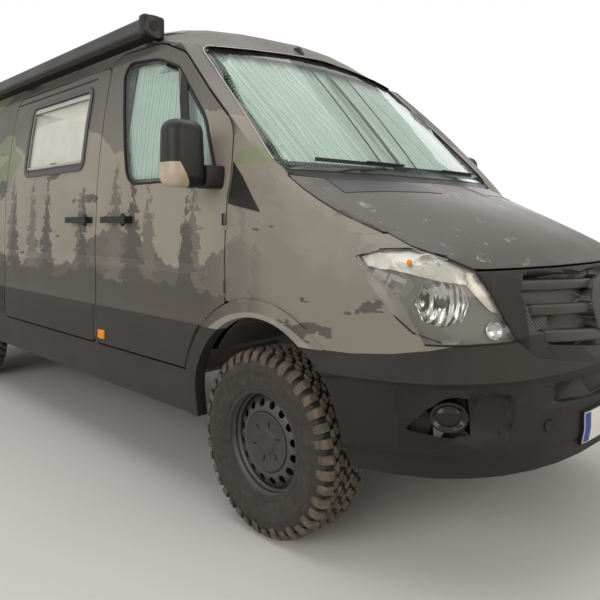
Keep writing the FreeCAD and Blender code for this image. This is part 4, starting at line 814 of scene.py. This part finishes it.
onBothSides(handleCup("handleCup", sideBody["frontCup"]), "handleCup", "front_door_SIDE", trimPlastic)
finishPiece(handleCup("slideCup", sideBody["slideCup"]), "root", trimPlastic)
marker = block("sideMarker",
               (sideBody["markerAt"] - 0.033, -sideBody["markerFace"], sideBody["marker"] - 0.024),
               (sideBody["markerAt"] + 0.033, -sideBody["markerFace"] + 0.010, sideBody["marker"] + 0.024))
insets(marker, lambda face: face.normal.y < -0.9, (0.005, 0.002))
onBothSides(rounded(marker, 0.003, 3), "sideMarker", "front_door_SIDE", amberLens)

coverCuts = [((1.779, 0, 1.31), (-1, 0, 0)), ((1.779, 0, 1.335), (-0.19, 0, -1)),
             ((1.972, 0, 1.298), (0.745, 0, 0.667))]
cover = joinPieces("cornerCover", [
    patch(node, "cornerCoverPart", outwards("right", 0.5), coverCuts, 0.0005, 0.003)
    for node in ("side_wall_right", "wing_right")])
onBothSides(rounded(cover, 0.001), "cornerCover", "root", trimPlastic)
print("sides trimmed")


# ---- glass: panes with a dark printed border, blinds behind them

pane = {"border": 0.022, "screenBorder": 0.030, "dotBand": 0.028, "thick": 0.0045, "shadeFoot": 2.105}
blind = {
    "foot": 1.50, "top": 2.155, "half": 0.82, "pleats": 74, "fold": 0.006, "barTop": 2.10,
    "bars": [((1.692, -0.051, 1.881), (2.062, -0.114, 1.507), 0.011),  # top, foot, half width
             ((1.679, -0.172, 1.886), (2.037, -0.244, 1.525), 0.004),
             ((1.670, 0.108, 1.898), (2.062, 0.006, 1.514), 0.004)],
    "doorFoot": 1.465, "doorTop": 2.085, "doorBack": 0.88, "doorFront": 1.66, "doorPleats": 35,
    "doorFold": 0.008,
}


def borderedPane(node, name, test, width, dots=0.0):
    # the outer face of a pane with its printed border inset into it, then its thickness
    piece = patch(node, name, test)
    for finish in (sealPrint, dotPrint, clearGlass):
        piece.data.materials.append(finish)
    piece.data.materials.pop(index=0)
    for number, inset in ((1, width), (2, dots)):
        edit(piece, faces=lambda face: face.material_index == number - 1)
        if inset:
            bpy.ops.mesh.inset(thickness=inset, depth=0, use_even_offset=False)
        piece.active_material_index = number
        bpy.ops.object.material_slot_assign()
        done()
    change(piece, "SOLIDIFY", thickness=pane["thick"], offset=-1)
    smooth(piece)
    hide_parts(node)
    return piece


def onScreen(centre, normal):
    return normal.dot(Vector((0.66, 0, 0.75))) > 0.7


def pleated(piece, across, count, low, high, fold):
    # cuts the sheet across its width and draws every second cut back, which folds it like a fan
    for number in range(1, count):
        at = low + (high - low) * number / count
        edit(piece)
        bpy.ops.mesh.bisect(plane_co=[at * part for part in across], plane_no=across)
        if number % 2:
            bpy.ops.transform.translate(value=fold)
        done()
    return smooth(piece, 15)


screen = borderedPane("windscreen", "windscreenPane", onScreen, pane["screenBorder"], pane["dotBand"])
finishPiece(screen, "root", None)
shade = patch("windscreen", "windscreenShade", onScreen, keep(low=pane["shadeFoot"]), 0.0006)
finishPiece(shade, "root", shadePrint)
seal = piping("windscreen", "windscreenSeal", rimOf(onScreen), 0.006)
finishPiece(seal, "root", sealRubber)
trim = piping("windscreen", "windscreenTrim", rimOf(onScreen), 0.0028)
trim.data.transform(Matrix.Translation((0.003, 0, 0.006)) @ Matrix.Scale(1.008, 4, (0, 1, 0)))
cutAway(trim, (0, 0, 1.52), (0, 0, -1))
finishPiece(trim, "root", brightMetal)

screenBlind = patch("windscreen", "windscreenBlind", onScreen,
                    keep(low=blind["foot"], high=blind["top"]), -0.020)
pleated(screenBlind, (0, 1, 0), blind["pleats"], -blind["half"], blind["half"],
        (-blind["fold"], 0, -blind["fold"]))
finishPiece(screenBlind, "root", blindCloth)
# the bars where the two halves of the blind meet, and their pull bars
bars = []
for top, foot, wide in blind["bars"]:
    top, foot = Vector(top), Vector(foot)
    beyond = (foot - top).cross(Vector((0.70, 0, 0.71))).normalized()
    cuts = [(top + beyond * wide, beyond), (top - beyond * wide, -beyond)]
    bars.append(patch("windscreen", "blindBar", onScreen,
                      cuts + keep(low=blind["foot"], high=blind["barTop"]), -0.010, -0.005))
finishPiece(joinPieces("windscreenBlindBars", bars), "root", trimPlastic)

for side in bothSides:
    outer, body = outwards(side, 0.8), "front_door_" + side
    finishPiece(borderedPane("door_glass_" + side, "doorPane_" + side, outer, pane["border"]), body, None)
    piece = patch("door_glass_" + side, "doorBlind_" + side, outer,
                  keep(low=blind["doorFoot"], back=blind["doorBack"], high=blind["doorTop"]), -0.022)
    inwards = blind["doorFold"] if side == "right" else -blind["doorFold"]
    pleated(piece, (1, 0, 0), blind["doorPleats"], blind["doorBack"], blind["doorFront"], (0, inwards, 0))
    finishPiece(piece, body, doorBlindCloth)
    edge = patch("door_glass_" + side, "blindEdge_" + side, outer,
                 keep(front=blind["doorBack"] + 0.005), -0.012, -0.006)
    finishPiece(edge, body, trimPlastic)
print("glass and blinds made")


# ---- camper window: aluminium edge, rail, cream blind and handle

campWindow = {"low": 1.588, "high": 2.018, "back": -0.399, "front": 0.422, "rail": 0.030, "edge": 0.009}
low, high = campWindow["low"], campWindow["high"]
front, back = campWindow["front"] - 0.009, campWindow["back"] + 0.011
onPane = outwards("right", 0.8)
windowPane = patch("camper_pane", "camperPane", onPane, thick=-0.004)
finishPiece(windowPane, "root", clearGlass)
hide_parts("camper_pane")
cream = patch("camper_pane", "camperBlind", onPane, keep(low=low + 0.02, high=high - 0.03), -0.020)
finishPiece(cream, "root", windowCloth)
for name, cuts in (("camperRail", keep(low=high - campWindow["rail"] - 0.008, high=high - 0.008)),
                   ("camperEdgeFront", keep(back=front - campWindow["edge"], front=front)),
                   ("camperEdgeBack", keep(front=back + campWindow["edge"], back=back)),
                   ("camperEdgeFoot", keep(high=low + 0.030, low=low + 0.018))):
    strip = patch("camper_pane", name, onPane, cuts, thick=0.003)
    finishPiece(strip, "root", brightMetal)
latch = block("camperLatch", (-0.03, -0.9625, 1.612), (0.05, -0.948, 1.626))
finishPiece(rounded(latch, 0.004), "root", trimPlastic)


# ---- nose: bonnet vents, grille, bumper, plate, headlamps

nose = {
    "ventCorners": [(2.060, -0.677), (2.184, -0.699), (2.311, -0.191), (2.144, -0.235)],
    "slats": [(1.025, 1.000, 0.028), (0.941, 0.906, 0.030), (0.851, 0.798, 0.036)],
    "plateHalf": 0.255, "plateLow": 0.445, "plateHigh": 0.560,
    "towCover": (2.903, -0.457, 0.550), "fogLamp": (2.700, -0.775, 0.609), "fogFacing": (0.66, -0.75, 0.02),
}


def planCuts(corners, height):
    # planes that stand on the sides of an outline in plan
    middle = sum((Vector(corner) for corner in corners), Vector((0, 0))) / len(corners)
    cuts = []
    for (x, y), (nextX, nextY) in zip(corners, corners[1:] + corners[:1]):
        beyond = Vector((nextY - y, x - nextX, 0))
        outside = (middle.x - x) * beyond.x + (middle.y - y) * beyond.y < 0
        cuts.append(((x, y, height), beyond if outside else -beyond))
    return cuts


def inOpening(centre, normal):
    # inside the frame of the grille, seen from the front
    return (abs(centre.y) < 0.54 - max(0.0, 0.95 - centre.z) * 0.55
            and 0.766 + abs(centre.y) * 0.14 < centre.z < 1.070)


def tipAt(height):
    # the nose on the centre line, raked back over the grille
    return 2.9604 - 0.079 * (max(0.0, height - 0.567) / 0.566) ** 1.25


def noseAt(across, height):
    # how far forward the nose reaches at a distance from the centre line
    turn = (abs(across) / 0.987) ** 1.25
    return frontAxle - 0.4 + (tipAt(height) - frontAxle + 0.4) * (1 - turn * turn) ** 0.2


def swept(name, path, deep, high):
    # a bar of rectangular section drawn from point to point
    piece = start("plane", name, size=1, location=path[0], rotation=(math.radians(90), 0, 0))
    edit(piece)
    bpy.ops.transform.resize(value=(deep, 1, high), center_override=path[0])
    pushed(*([b - a for a, b in zip(before, after)] for before, after in zip(path, path[1:])))
    bpy.ops.mesh.select_all(action="SELECT")
    bpy.ops.mesh.normals_make_consistent(inside=False)
    done()
    return piece


vent = patch("bonnet", "bonnetVent", lambda centre, normal: normal.z > 0.5,
             planCuts(nose["ventCorners"], 1.4), thick=0.002)
onBothSides(vent, "bonnetVent", "bonnet", ventMesh)
paintFaces(skin["grille"], perforated, inOpening)
slatBars = []
for number, (outer, middle, depth) in enumerate(nose["slats"]):
    path = []
    for step in range(21):
        across = (step / 10 - 1) * (0.535 - 0.045 * number)
        height = middle + (outer - middle) * abs(across) / 0.62 + depth / 2
        path.append((noseAt(across, height) - 0.021, across, height))
    slatBars.append(rounded(swept("grilleSlat", path, 0.036, depth + 0.010), 0.010, 4, 60))
finishPiece(joinPieces("grilleSlats", slatBars), "root", slatPlastic)

# two creases run round the bumper, and what lies below each is drawn in
bumper = skin["front_bumper"]
for low, high, share in ((0.702, 0.722, 0.9875), (0.458, 0.470, 0.990)):
    for height in (low, high):
        edit(bumper)
        bpy.ops.mesh.bisect(plane_co=(0, 0, height), plane_no=(0, 0, 1))
        done()
    edit(bumper, points=lambda point: point.co.z < low + 0.0005)
    bpy.ops.transform.resize(value=(share, share, 1), center_override=(1.90, 0, 0))
    done()
smooth(bumper, 24)
change(bumper, "WEIGHTED_NORMAL", keep_sharp=True)
# the shelf above the upper crease painted paler than the bumper below it: a painted highlight
paintFaces(bumper, shelfPaintedHighlight, lambda centre, normal: centre.z > 0.7225 and normal.x > -0.2)
paintFaces(bumper, trimPlastic, lambda centre, normal: (
    0.50 < centre.z < 0.70 and centre.x < noseAt(centre.y, centre.z) - 0.030 and centre.x > 2.55
    and abs(centre.y) < 0.90))

plateHalf = nose["plateHalf"]
for name, grow, left, lift, thick, finish, slotName in (
        ("plateHolder", 0.006, plateHalf + 0.006, -0.003, -0.014, trimPlastic, "trim_plastic"),
        ("numberPlate", 0.0, plateHalf, -0.0012, -0.003, whitePlastic, "window_frame"),
        ("plateStrip", -0.003, -plateHalf + 0.045, -0.0006, -0.002, bluePlastic, "window_frame")):
    cuts = keep(low=nose["plateLow"] - grow, high=nose["plateHigh"] + grow,
                right=-plateHalf - grow, left=left)
    plate = patch("front_bumper", name, lambda centre, normal: normal.x > 0.6, cuts, lift, thick)
    finishPiece(plate, "root", finish)

towCap = start("cylinder", "towCover", vertices=40, radius=0.0205, depth=0.004, location=nose["towCover"],
               rotation=(0, math.radians(90), math.radians(-14)))
insets(towCap, lambda face: face.normal.x > 0.9, (0.003, -0.001))
finishPiece(rounded(towCap, 0.001), "root", bumperPlastic)
edit(bumper, faces=lambda face: (
    math.hypot(abs(face.calc_center_median().y) - 0.782, face.calc_center_median().z - 0.610) < 0.072
    and 2.64 < face.calc_center_median().x < 2.755))
bpy.ops.mesh.delete(type="FACE")
done()
fog = start("cylinder", "fogLamp", vertices=64, radius=0.050, depth=0.05)
insets(fog, lambda face: face.normal.z > 0.9, (0.006, 0.0), (0.010, -0.014), (0.004, 0.003), (0.016, 0.004))
rounded(fog, 0.002)
fog.data.transform(standing(nose["fogLamp"], nose["fogFacing"]) @ Matrix.Scale(1.28, 4, (1, 0, 0)))
onBothSides(fog, "fogLamp", "root", smokedLens)

lamp = {  # outlines of the right headlamp as the photograph shows them, in metres
    "middle": (2.690, -0.794, 0.985), "turn": (2.645, -0.815, 1.108), "small": (2.805, -0.658, 0.892),
    "top": [(2.418, -0.912, 1.137), (2.493, -0.867, 1.164), (2.566, -0.804, 1.166), (2.667, -0.725, 1.139)],
    "low": [(2.694, -0.806, 0.857), (2.620, -0.861, 0.888), (2.569, -0.889, 0.939), (2.514, -0.911, 1.003),
            (2.465, -0.925, 1.079), (2.418, -0.912, 1.137)],
    "strip": [(2.445, -0.917, 1.117), (2.687, -0.788, 1.058), (2.743, -0.721, 1.046),
              (2.770, -0.689, 0.999), (2.796, -0.657, 0.958), (2.815, -0.621, 0.945)],
    "stripCorner": [(2.743, -0.721, 1.046), (2.743, -0.721, 1.146)],
    "aboveStrip": (2.70, -0.72, 1.13), "besideStrip": (2.79, -0.62, 1.05),
    "bezelDeep": 0.024, "stripDeep": 0.012,
}
eye = Vector(camera["place"])


def onLamp(centre, normal):
    return normal.dot(Vector((0.55, -0.75, 0.35))) > 0.6


def sightCuts(corners, inside):
    # planes through successive corners of an outline, along the line of sight of the photograph
    cuts = []
    for one, other in zip(corners, corners[1:]):
        beyond = (Vector(one) - eye).cross(Vector(other) - eye).normalized()
        cuts.append((eye, -beyond if (Vector(inside) - eye).dot(beyond) > 0 else beyond))
    return cuts


def behind(point, depth):
    # a point moved back along the line of sight
    return Vector(point) + (Vector(point) - eye).normalized() * depth


def lampEdge(edge):
    return (rimOf(onLamp)(edge) and sum(point.co.x for point in edge.verts) / 2 > 2.66
            and not all(onLamp(None, face.normal) for face in edge.link_faces))


topCuts, lowCuts = sightCuts(lamp["top"], lamp["middle"]), sightCuts(lamp["low"], lamp["middle"])
lens = patch("headlamp_right", "lampLens", onLamp, topCuts, thick=-0.003)
onBothSides(lens, "lampLens", "root", lampGlass, "headlamp_")
corners = [patch("headlamp_right", "wingCornerPart", onLamp, topCuts[:number] + [(place, -beyond)],
                 thick=-0.003) for number, (place, beyond) in enumerate(topCuts)]
onBothSides(joinPieces("wingCorner", corners), "wingCorner", "root", bodyFilm)
for side in bothSides:
    paintFaces(skin["wing_" + side], bezelPlastic, lambda centre, normal: (
        2.40 < centre.x < 2.87 and 0.84 < centre.z < 1.20 and abs(normal.y) < 0.45 and normal.z < 0.6))
lampSide = patch("wing_right", "lampSide", lambda centre, normal: normal.y < -0.4 and centre.x > 2.2,
                 topCuts + lowCuts, 0.0012, -0.002)
onBothSides(lampSide, "lampSide", "root", bezelPlastic)

bezel = patch("headlamp_right", "lampBezel", onLamp, topCuts, -lamp["bezelDeep"], -0.003)
holes = []
for point, radius, wide, sides in ((lamp["middle"], 0.082, 1.12, 8), (lamp["turn"], 0.036, 1.45, 24),
                                   (lamp["small"], 0.030, 1.1, 8)):
    hole = start("cylinder", "bezelHole", vertices=sides, radius=radius, depth=0.10)
    hole.data.transform(standing(behind(point, 0.03), eye - Vector(point))
                        @ Matrix.Scale(wide, 4, (1, 0, 0)))
    holes.append(hole)
cutBy(bezel, holes, crossing=True)
onBothSides(smooth(bezel), "lampBezel", "root", bezelPlastic)
(cornerPlace, cornerBeyond), = sightCuts(lamp["stripCorner"], lamp["middle"])
strip = joinPieces("lampStrip", [
    patch("headlamp_right", "lampStripPart", onLamp,
          topCuts + sightCuts(line, inside) + [(cornerPlace, beyond)], -lamp["stripDeep"])
    for line, inside, beyond in ((lamp["strip"][:3], lamp["aboveStrip"], cornerBeyond),
                                 (lamp["strip"][2:], lamp["besideStrip"], -cornerBeyond))])
onBothSides(strip, "lampStrip", "root", silverStrip)

# bowls: a sphere cut in half and flattened, its rim turned out; bulbs stand in two of them
for name, place, radius, facing, depth, segments, angle, finish in (
        ("lampBowl", behind(lamp["middle"], 0.034), 0.088, (0.66, -0.74, 0.12), 0.050, 8, 20,
         flutedReflector),
        ("turnBowl", behind(lamp["turn"], 0.014), 0.042, (0.62, -0.75, 0.2), 0.020, 24, 40, mirrorSilver),
        ("smallBowl", behind(lamp["small"], 0.020), 0.031, (0.86, -0.48, 0.1), 0.018, 20, 40, mirrorSilver)):
    dish = start("uv_sphere", name, segments=segments, ring_count=16, radius=radius)
    cutAway(dish, (0, 0, 0), (0, 0, 1))
    edit(dish, edges=lambda edge: edge.is_boundary)
    bpy.ops.mesh.extrude_edges_move(TRANSFORM_OT_translate={"value": (0, 0, 0.002)})
    bpy.ops.transform.resize(value=(1.03, 1.03, 1.0))
    done()
    dish.data.transform(standing(place, facing) @ Matrix.Scale(depth / radius, 4, (0, 0, 1)))
    change(dish, "SOLIDIFY", thickness=0.002, offset=-1)
    onBothSides(smooth(dish, angle), name, "root", finish)
for name, place, radius, finish, slotName in (
        ("lampBulb", behind(lamp["middle"], 0.060), 0.018, smokedLens, "lamp_lens"),
        ("turnBulb", behind((2.600, -0.850, 1.122), 0.004), 0.010, amberLens, "tail_lens")):
    bulb = start("uv_sphere", name, segments=24, ring_count=12, radius=radius, location=place)
    onBothSides(smooth(bulb), name, "root", finish)
outline = [Vector(point) for point in lamp["low"][:-1] + lamp["top"]]
seal = joinPieces("lampSeal", [piping("headlamp_right", "lampSealNose", lampEdge, 0.0035),
                               rounded(swept("lampSealSide", outline, 0.006, 0.006), 0.002)])
onBothSides(seal, "lampSeal", "root", sealRubber)
print("nose dressed")


# ---- wheels: carcass, tread blocks, rim, cap

wheel = {
    "right": -0.855, "rear": -0.858, "pitches": 20, "treadTop": 0.3731, "treadFloor": 0.3600,
    "capRadius": 0.118, "slots": 6, "holes": 16, "holeRadius": 0.0160, "holeRing": 0.1545,
}
axleRight = (frontAxle, wheel["right"], axleHeight)


def roundAxle(piece, degrees):
    piece.data.transform(Matrix.Translation(axleRight) @ Matrix.Rotation(math.radians(degrees), 4, "Y"))
    return piece


def hubDisc(name, vertices, radius, depth, inwards):
    # a round block on the right front axle
    return start("cylinder", name, vertices=vertices, radius=radius, depth=depth,
                 location=(frontAxle, wheel["right"] + inwards, axleHeight),
                 rotation=(math.radians(90), 0, 0))


def ends(face):
    return abs(face.normal.y) > 0.9


def treadBlock(name, low, high, lean):
    # one block of tread at the top of the tyre, leaning across the tread
    piece = block(name, (low[0], low[1], wheel["treadFloor"] - 0.004), (high[0], high[1], wheel["treadTop"]))
    edit(piece, faces=lambda face: face.normal.x > 0.9)
    bpy.ops.transform.translate(value=(lean, 0, 0))
    done()
    edit(piece, points=lambda point: point.co.y > (low[1] + high[1]) / 2)
    bpy.ops.transform.translate(value=(lean, 0, 0))
    done()
    return piece


def shoulderBlock(name, wide, reach):
    # a block at the edge of the tread that runs over the shoulder and down the sidewall
    piece = block(name, (-wide / 2, 0.068, wheel["treadFloor"] - 0.003),
                  (wide / 2, 0.078, wheel["treadTop"]))
    edit(piece, faces=lambda face: face.normal.y > 0.9)
    pushed((0, 0.020, -0.0075), (0, 0.0125, -0.0195), (0, 0.0035, -reach))
    bpy.ops.transform.resize(value=(0.82, 1, 0.7), center_override=(0, 0.114, 0.33))
    done()
    return piece


carcass = spun("tyreCarcass", axleRight, [
    (0.199, -0.100), (0.215, -0.1015), (0.220, -0.106), (0.224, -0.1035), (0.244, -0.110),
    (0.268, -0.1145), (0.289, -0.1150), (0.291, -0.1162), (0.294, -0.1162), (0.296, -0.1148),
    (0.318, -0.1130), (0.338, -0.1040), (0.349, -0.0925), (0.357, -0.078), (0.3605, -0.050),
    (0.3605, 0.050), (0.357, 0.078), (0.349, 0.0925), (0.338, 0.1040), (0.318, 0.1130),
    (0.289, 0.1150), (0.244, 0.110), (0.224, 0.1035), (0.215, 0.1015), (0.199, 0.100)], 120)
carcass.data.materials.append(tyreRubber)
# the tread floor between the blocks painted near black: painted shade between the blocks
paintFaces(carcass, treadGapPaintedShade, lambda centre, normal: (
    math.hypot(centre.x - frontAxle, centre.z - axleHeight) > 0.345))
tyreParts = [carcass]
for inner in (False, True):
    shapes = [(shoulderBlock("shoulderLong", 0.034, 0.018), 0.0),
              (shoulderBlock("shoulderShort", 0.032, 0.004), 9.0)]
    for name, low, high, lean, at in (("midOuter", (-0.017, 0.0245), (0.014, 0.0405), 0.006, 1.5),
                                      ("midInner", (-0.019, 0.0035), (0.016, 0.0195), -0.007, 6.0),
                                      ("edgeBlock", (-0.019, 0.0455), (0.016, 0.0630), 0.006, 4.5)):
        piece = treadBlock(name, low, high, lean)
        shapes += [(piece, at), (copyOf(piece, name + "Next"), at + 9.0)]
    for piece, at in shapes:
        rounded(piece, 0.0025, 2, 30)
        piece.data.materials.append(treadRubber)
        if inner:
            flipOver(piece)
        for number in range(wheel["pitches"]):
            degrees = at + (4.5 if inner else 0) + 360 * number / wheel["pitches"]
            tyreParts.append(roundAxle(copyOf(piece, "treadBlock"), degrees))
        bpy.data.objects.remove(piece)
tyre = smooth(joinPieces("tyreFrontRight", tyreParts), 35)

disc = spun("rimDisc", axleRight, [
    (0.1880, -0.0300), (0.1840, -0.0370), (0.1760, -0.0480), (0.1660, -0.0585), (0.1500, -0.0655),
    (0.1330, -0.0700), (0.1240, -0.0700), (0.1180, -0.0640), (0.0900, -0.0600), (0.0200, -0.0600)])
change(disc, "SOLIDIFY", thickness=0.004, offset=0)
cutBy(disc, [roundAxle(start("cylinder", "rimHole", vertices=24, radius=wheel["holeRadius"], depth=0.06,
                             location=(0, -0.060, wheel["holeRing"]), rotation=(math.radians(90), 0, 0)),
                       360 * (number + 0.5) / wheel["holes"]) for number in range(wheel["holes"])])
barrel = spun("rimBarrel", axleRight, [
    (0.2140, -0.0740), (0.2220, -0.0790), (0.2228, -0.0860), (0.2200, -0.0885), (0.2160, -0.0875),
    (0.2100, -0.0760), (0.2010, -0.0690), (0.1985, -0.0560), (0.1910, -0.0480), (0.1885, -0.0300),
    (0.1850, 0.0500), (0.1930, 0.0680), (0.2100, 0.0760), (0.2160, 0.0875), (0.2200, 0.0885),
    (0.2228, 0.0860)])
change(barrel, "SOLIDIFY", thickness=0.003, offset=0)
hub = insets(hubDisc("rimHub", 48, 0.105, 0.10, 0.01), ends, (0.03, -0.01), individual=True)
# a dark disc behind the vent holes of the wheel: painted shade seen through the holes
holeShade = insets(hubDisc("rimWell", 64, 0.181, 0.004, -0.018), ends, (0.02, 0.001), individual=True)
for piece, finish in ((disc, rimSteel), (barrel, rimSteel), (hub, rimSteel), (holeShade, trimPlastic)):
    piece.data.materials.append(finish)
rim = smooth(joinPieces("rim", [disc, barrel, rounded(hub, 0.004), holeShade]), 32)

cap = start("cylinder", "wheelCap", vertices=72, radius=wheel["capRadius"], depth=0.016,
            rotation=(math.radians(90), 0, 0))
insets(cap, lambda face: face.normal.y < -0.9, (0.007, 0.002), (0.008, -0.005), (0.052, -0.002),
       (0.006, 0.006), (0.016, 0.0), (0.003, -0.0025))
cutters = []
for number in range(wheel["slots"]):
    cutter = rounded(block("slotCutter", (-0.0045, -0.03, 0.058), (0.0045, 0.004, 0.086)), 0.003, 2)
    cutter.data.transform(Matrix.Rotation(math.radians(360 * number / wheel["slots"] + 12), 4, "Y"))
    cutters.append(cutter)
cutBy(cap, cutters)
rounded(cap, 0.0012, 2, 40)
cap.data.transform(Matrix.Translation((frontAxle, wheel["right"] - 0.066, axleHeight)))
valve = rounded(start("cylinder", "tyreValve", vertices=16, radius=0.004, depth=0.03,
                      location=(frontAxle + 0.178, -0.905, axleHeight + 0.035),
                      rotation=(math.radians(90), 0, math.radians(20))), 0.001)
for piece, name, finish, slotName, node in (
        (tyre, "tyre", None, "tyre_rubber", "tyre_"), (rim, "rim", None, "rim_steel", "rim_"),
        (cap, "wheelCap", capPlastic, "rim_steel", None),
        (valve, "tyreValve", trimPlastic, "rim_steel", None)):
    rearRight = copyOf(piece, name + "RearRight")
    rearRight.data.transform(Matrix.Translation((rearAxle - frontAxle, wheel["rear"] - wheel["right"], 0)))
    piece.name = name + "FrontRight"
    for corner, item in (("front_right", piece), ("rear_right", rearRight),
                         ("front_left", flipOver(copyOf(piece, name + "FrontLeft"))),
                         ("rear_left", flipOver(copyOf(rearRight, name + "RearLeft")))):
        finishPiece(item, "wheel_" + corner, finish)
        if node:
            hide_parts(node + corner)
print("wheels made")


# ---- mirrors

mirror = {  # two corners of each part of the right mirror, in metres
    "housing": ((1.592, -1.2115, 1.4015), (1.7325, -1.030, 1.6835)), "corner": 0.052,
    "taper": (0.90, 0.93, 1), "taperTo": (1.63, -1.12, 1.68), "repeaterLift": 0.0011,
    "repeaterCuts": [((0, -1.190, 1.53), (0, 0.125, 0.07)), ((0, 0, 1.503), (0, 0, 1)),
                     ((1.615, 0, 0), (-1, 0, 0))],
    "arm": ((1.636, -1.045, 1.402), (1.732, -0.972, 1.498)), "amber": (1.706, -1.196, 1.470),
    "glass": ((1.586, -1.160, 1.455), (1.600, -1.078, 1.630)),
}
housing = block("mirrorHousing", *mirror["housing"])
edit(housing, points=lambda point: point.co.z > 1.6)
bpy.ops.transform.resize(value=mirror["taper"], center_override=mirror["taperTo"])
done()
rounded(housing, mirror["corner"], 9, 30)
repeater = copyOf(housing, "mirrorRepeater")
edit(repeater)
bpy.ops.transform.shrink_fatten(value=mirror["repeaterLift"])
done()
for place, beyond in mirror["repeaterCuts"]:
    cutAway(repeater, place, beyond)
onBothSides(housing, "mirrorHousing", "front_door_SIDE", mirrorPlastic, "mirror_")
onBothSides(repeater, "mirrorRepeater", "front_door_SIDE", lampGlassPale)
arm = block("mirrorArm", *mirror["arm"])
edit(arm, faces=lambda face: face.normal.y > 0.9)
pushed((0.0, 0.018, -0.004))
bpy.ops.transform.resize(value=(1.06, 1, 1.08))
done()
onBothSides(rounded(arm, 0.010, 3), "mirrorArm", "front_door_SIDE", mirrorPlastic)
glassPlate = block("mirrorGlass", *mirror["glass"])
insets(glassPlate, lambda face: face.normal.x < -0.9, (0.004, -0.002))
onBothSides(rounded(glassPlate, 0.004), "mirrorGlass", "front_door_SIDE", mirrorSilver)
spot = start("uv_sphere", "mirrorAmber", segments=16, ring_count=10, radius=0.006,
             location=mirror["amber"])
onBothSides(smooth(spot), "mirrorAmber", "front_door_SIDE", amberLens)


# ---- seats: padded covers over the frames

seatAcross = {"driver_seat": 0.44, "passenger_seat": -0.44}
seatPart = {  # back, front, half width, foot, top, how full
    "Cushion": (0.752, 1.247, 0.248, 0.905, 1.030, 0.8),
    "Back": (0.691, 0.826, 0.238, 1.000, 1.655, 0.8),
    "Rest": (0.712, 0.796, 0.128, 1.668, 1.850, 0.9),
}
for node, middle in seatAcross.items():
    name = node.replace("_seat", "")
    for part, (back, front, wide, low, high, fill) in seatPart.items():
        piece = block(name + part, (back, middle - wide, low), (front, middle + wide, high))
        edit(piece)
        bpy.ops.mesh.subdivide(number_cuts=4)
        done()
        change(piece, "SUBSURF", levels=2)
        finishPiece(smooth(piece, 60), "root", seatFabric)
        if part == "Cushion":
            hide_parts(node)
    base = block(name + "SeatBase", (0.812, middle - 0.198, 0.604), (1.187, middle + 0.198, 0.905))
    insets(base, lambda face: abs(face.normal.z) < 0.5, (0.03, -0.006), individual=True)
    finishPiece(rounded(base, 0.012, 3), "root", trimPlastic)
    for side, across in (("Right", middle - 0.06), ("Left", middle + 0.06)):
        post = start("cylinder", name + "HeadrestPost" + side, vertices=20, radius=0.006, depth=0.06,
                     location=(0.755, across, 1.665))
        finishPiece(rounded(post, 0.001), "root", brightMetal)
print("mirrors and seats made")


# ---- roof: awning ends, antenna; wipers

awningCap = {"length": 0.062, "outer": -0.941, "inner": -0.812, "foot": 2.199, "top": 2.317,
             "corner": 0.038, "hub": (-0.880, 2.262), "hubRadius": 0.026}
for name, low, hubAt in (("awningCapFront", 1.000, 1.061), ("awningCapRear", -2.444, -2.443)):
    cap = block(name, (low, awningCap["outer"], awningCap["foot"]),
                (low + awningCap["length"], awningCap["inner"], awningCap["top"]))
    insets(cap, lambda face: abs(face.normal.x) > 0.9, (0.018, -0.004), individual=True)
    rounded(cap, awningCap["corner"], 6)
    hub = start("cylinder", name + "Hub", vertices=32, radius=awningCap["hubRadius"], depth=0.006,
                location=(hubAt, *awningCap["hub"]), rotation=(0, math.radians(90), 0))
    insets(hub, lambda face: abs(face.normal.x) > 0.9, (0.008, -0.0015), individual=True)
    finishPiece(joinPieces(name, [cap, rounded(hub, 0.001)]), "root", trimPlastic)
# the underside of the awning cassette and its side towards the wall painted near black: painted shade under
# the awning
paintFaces(skin["awning"], awningPaintedShade, lambda centre, normal: normal.z < -0.3 or normal.y > 0.3)
fin = block("roofAntenna", (1.275, -0.110, 2.205), (1.345, -0.075, 2.252))
edit(fin, points=lambda point: point.co.z > 2.24)
bpy.ops.transform.resize(value=(0.6, 0.6, 1), center_override=(1.280, -0.09, 2.25))
done()
finishPiece(rounded(fin, 0.005, 3), "root", trimPlastic)

wiper = {  # the line of each blade, and how far its arm stands off it
    "wiperLeft": [(2.048, 0.52, 1.510), (2.056, 0.20, 1.512), (2.062, -0.20, 1.510)],
    "wiperRight": [(2.050, -0.12, 1.520), (2.046, -0.40, 1.520), (2.022, -0.70, 1.522)],
}
wiperArmOff = Vector((0.010, 0, 0.008))
for name, path in wiper.items():
    blade = swept(name + "Blade", path, 0.007, 0.016)
    wiperArm = rounded(swept(name + "Arm", [Vector(point) + wiperArmOff for point in path[:2]],
                             0.008, 0.009), 0.003)
    finishPiece(joinPieces(name, [blade, wiperArm]), "root", trimPlastic)
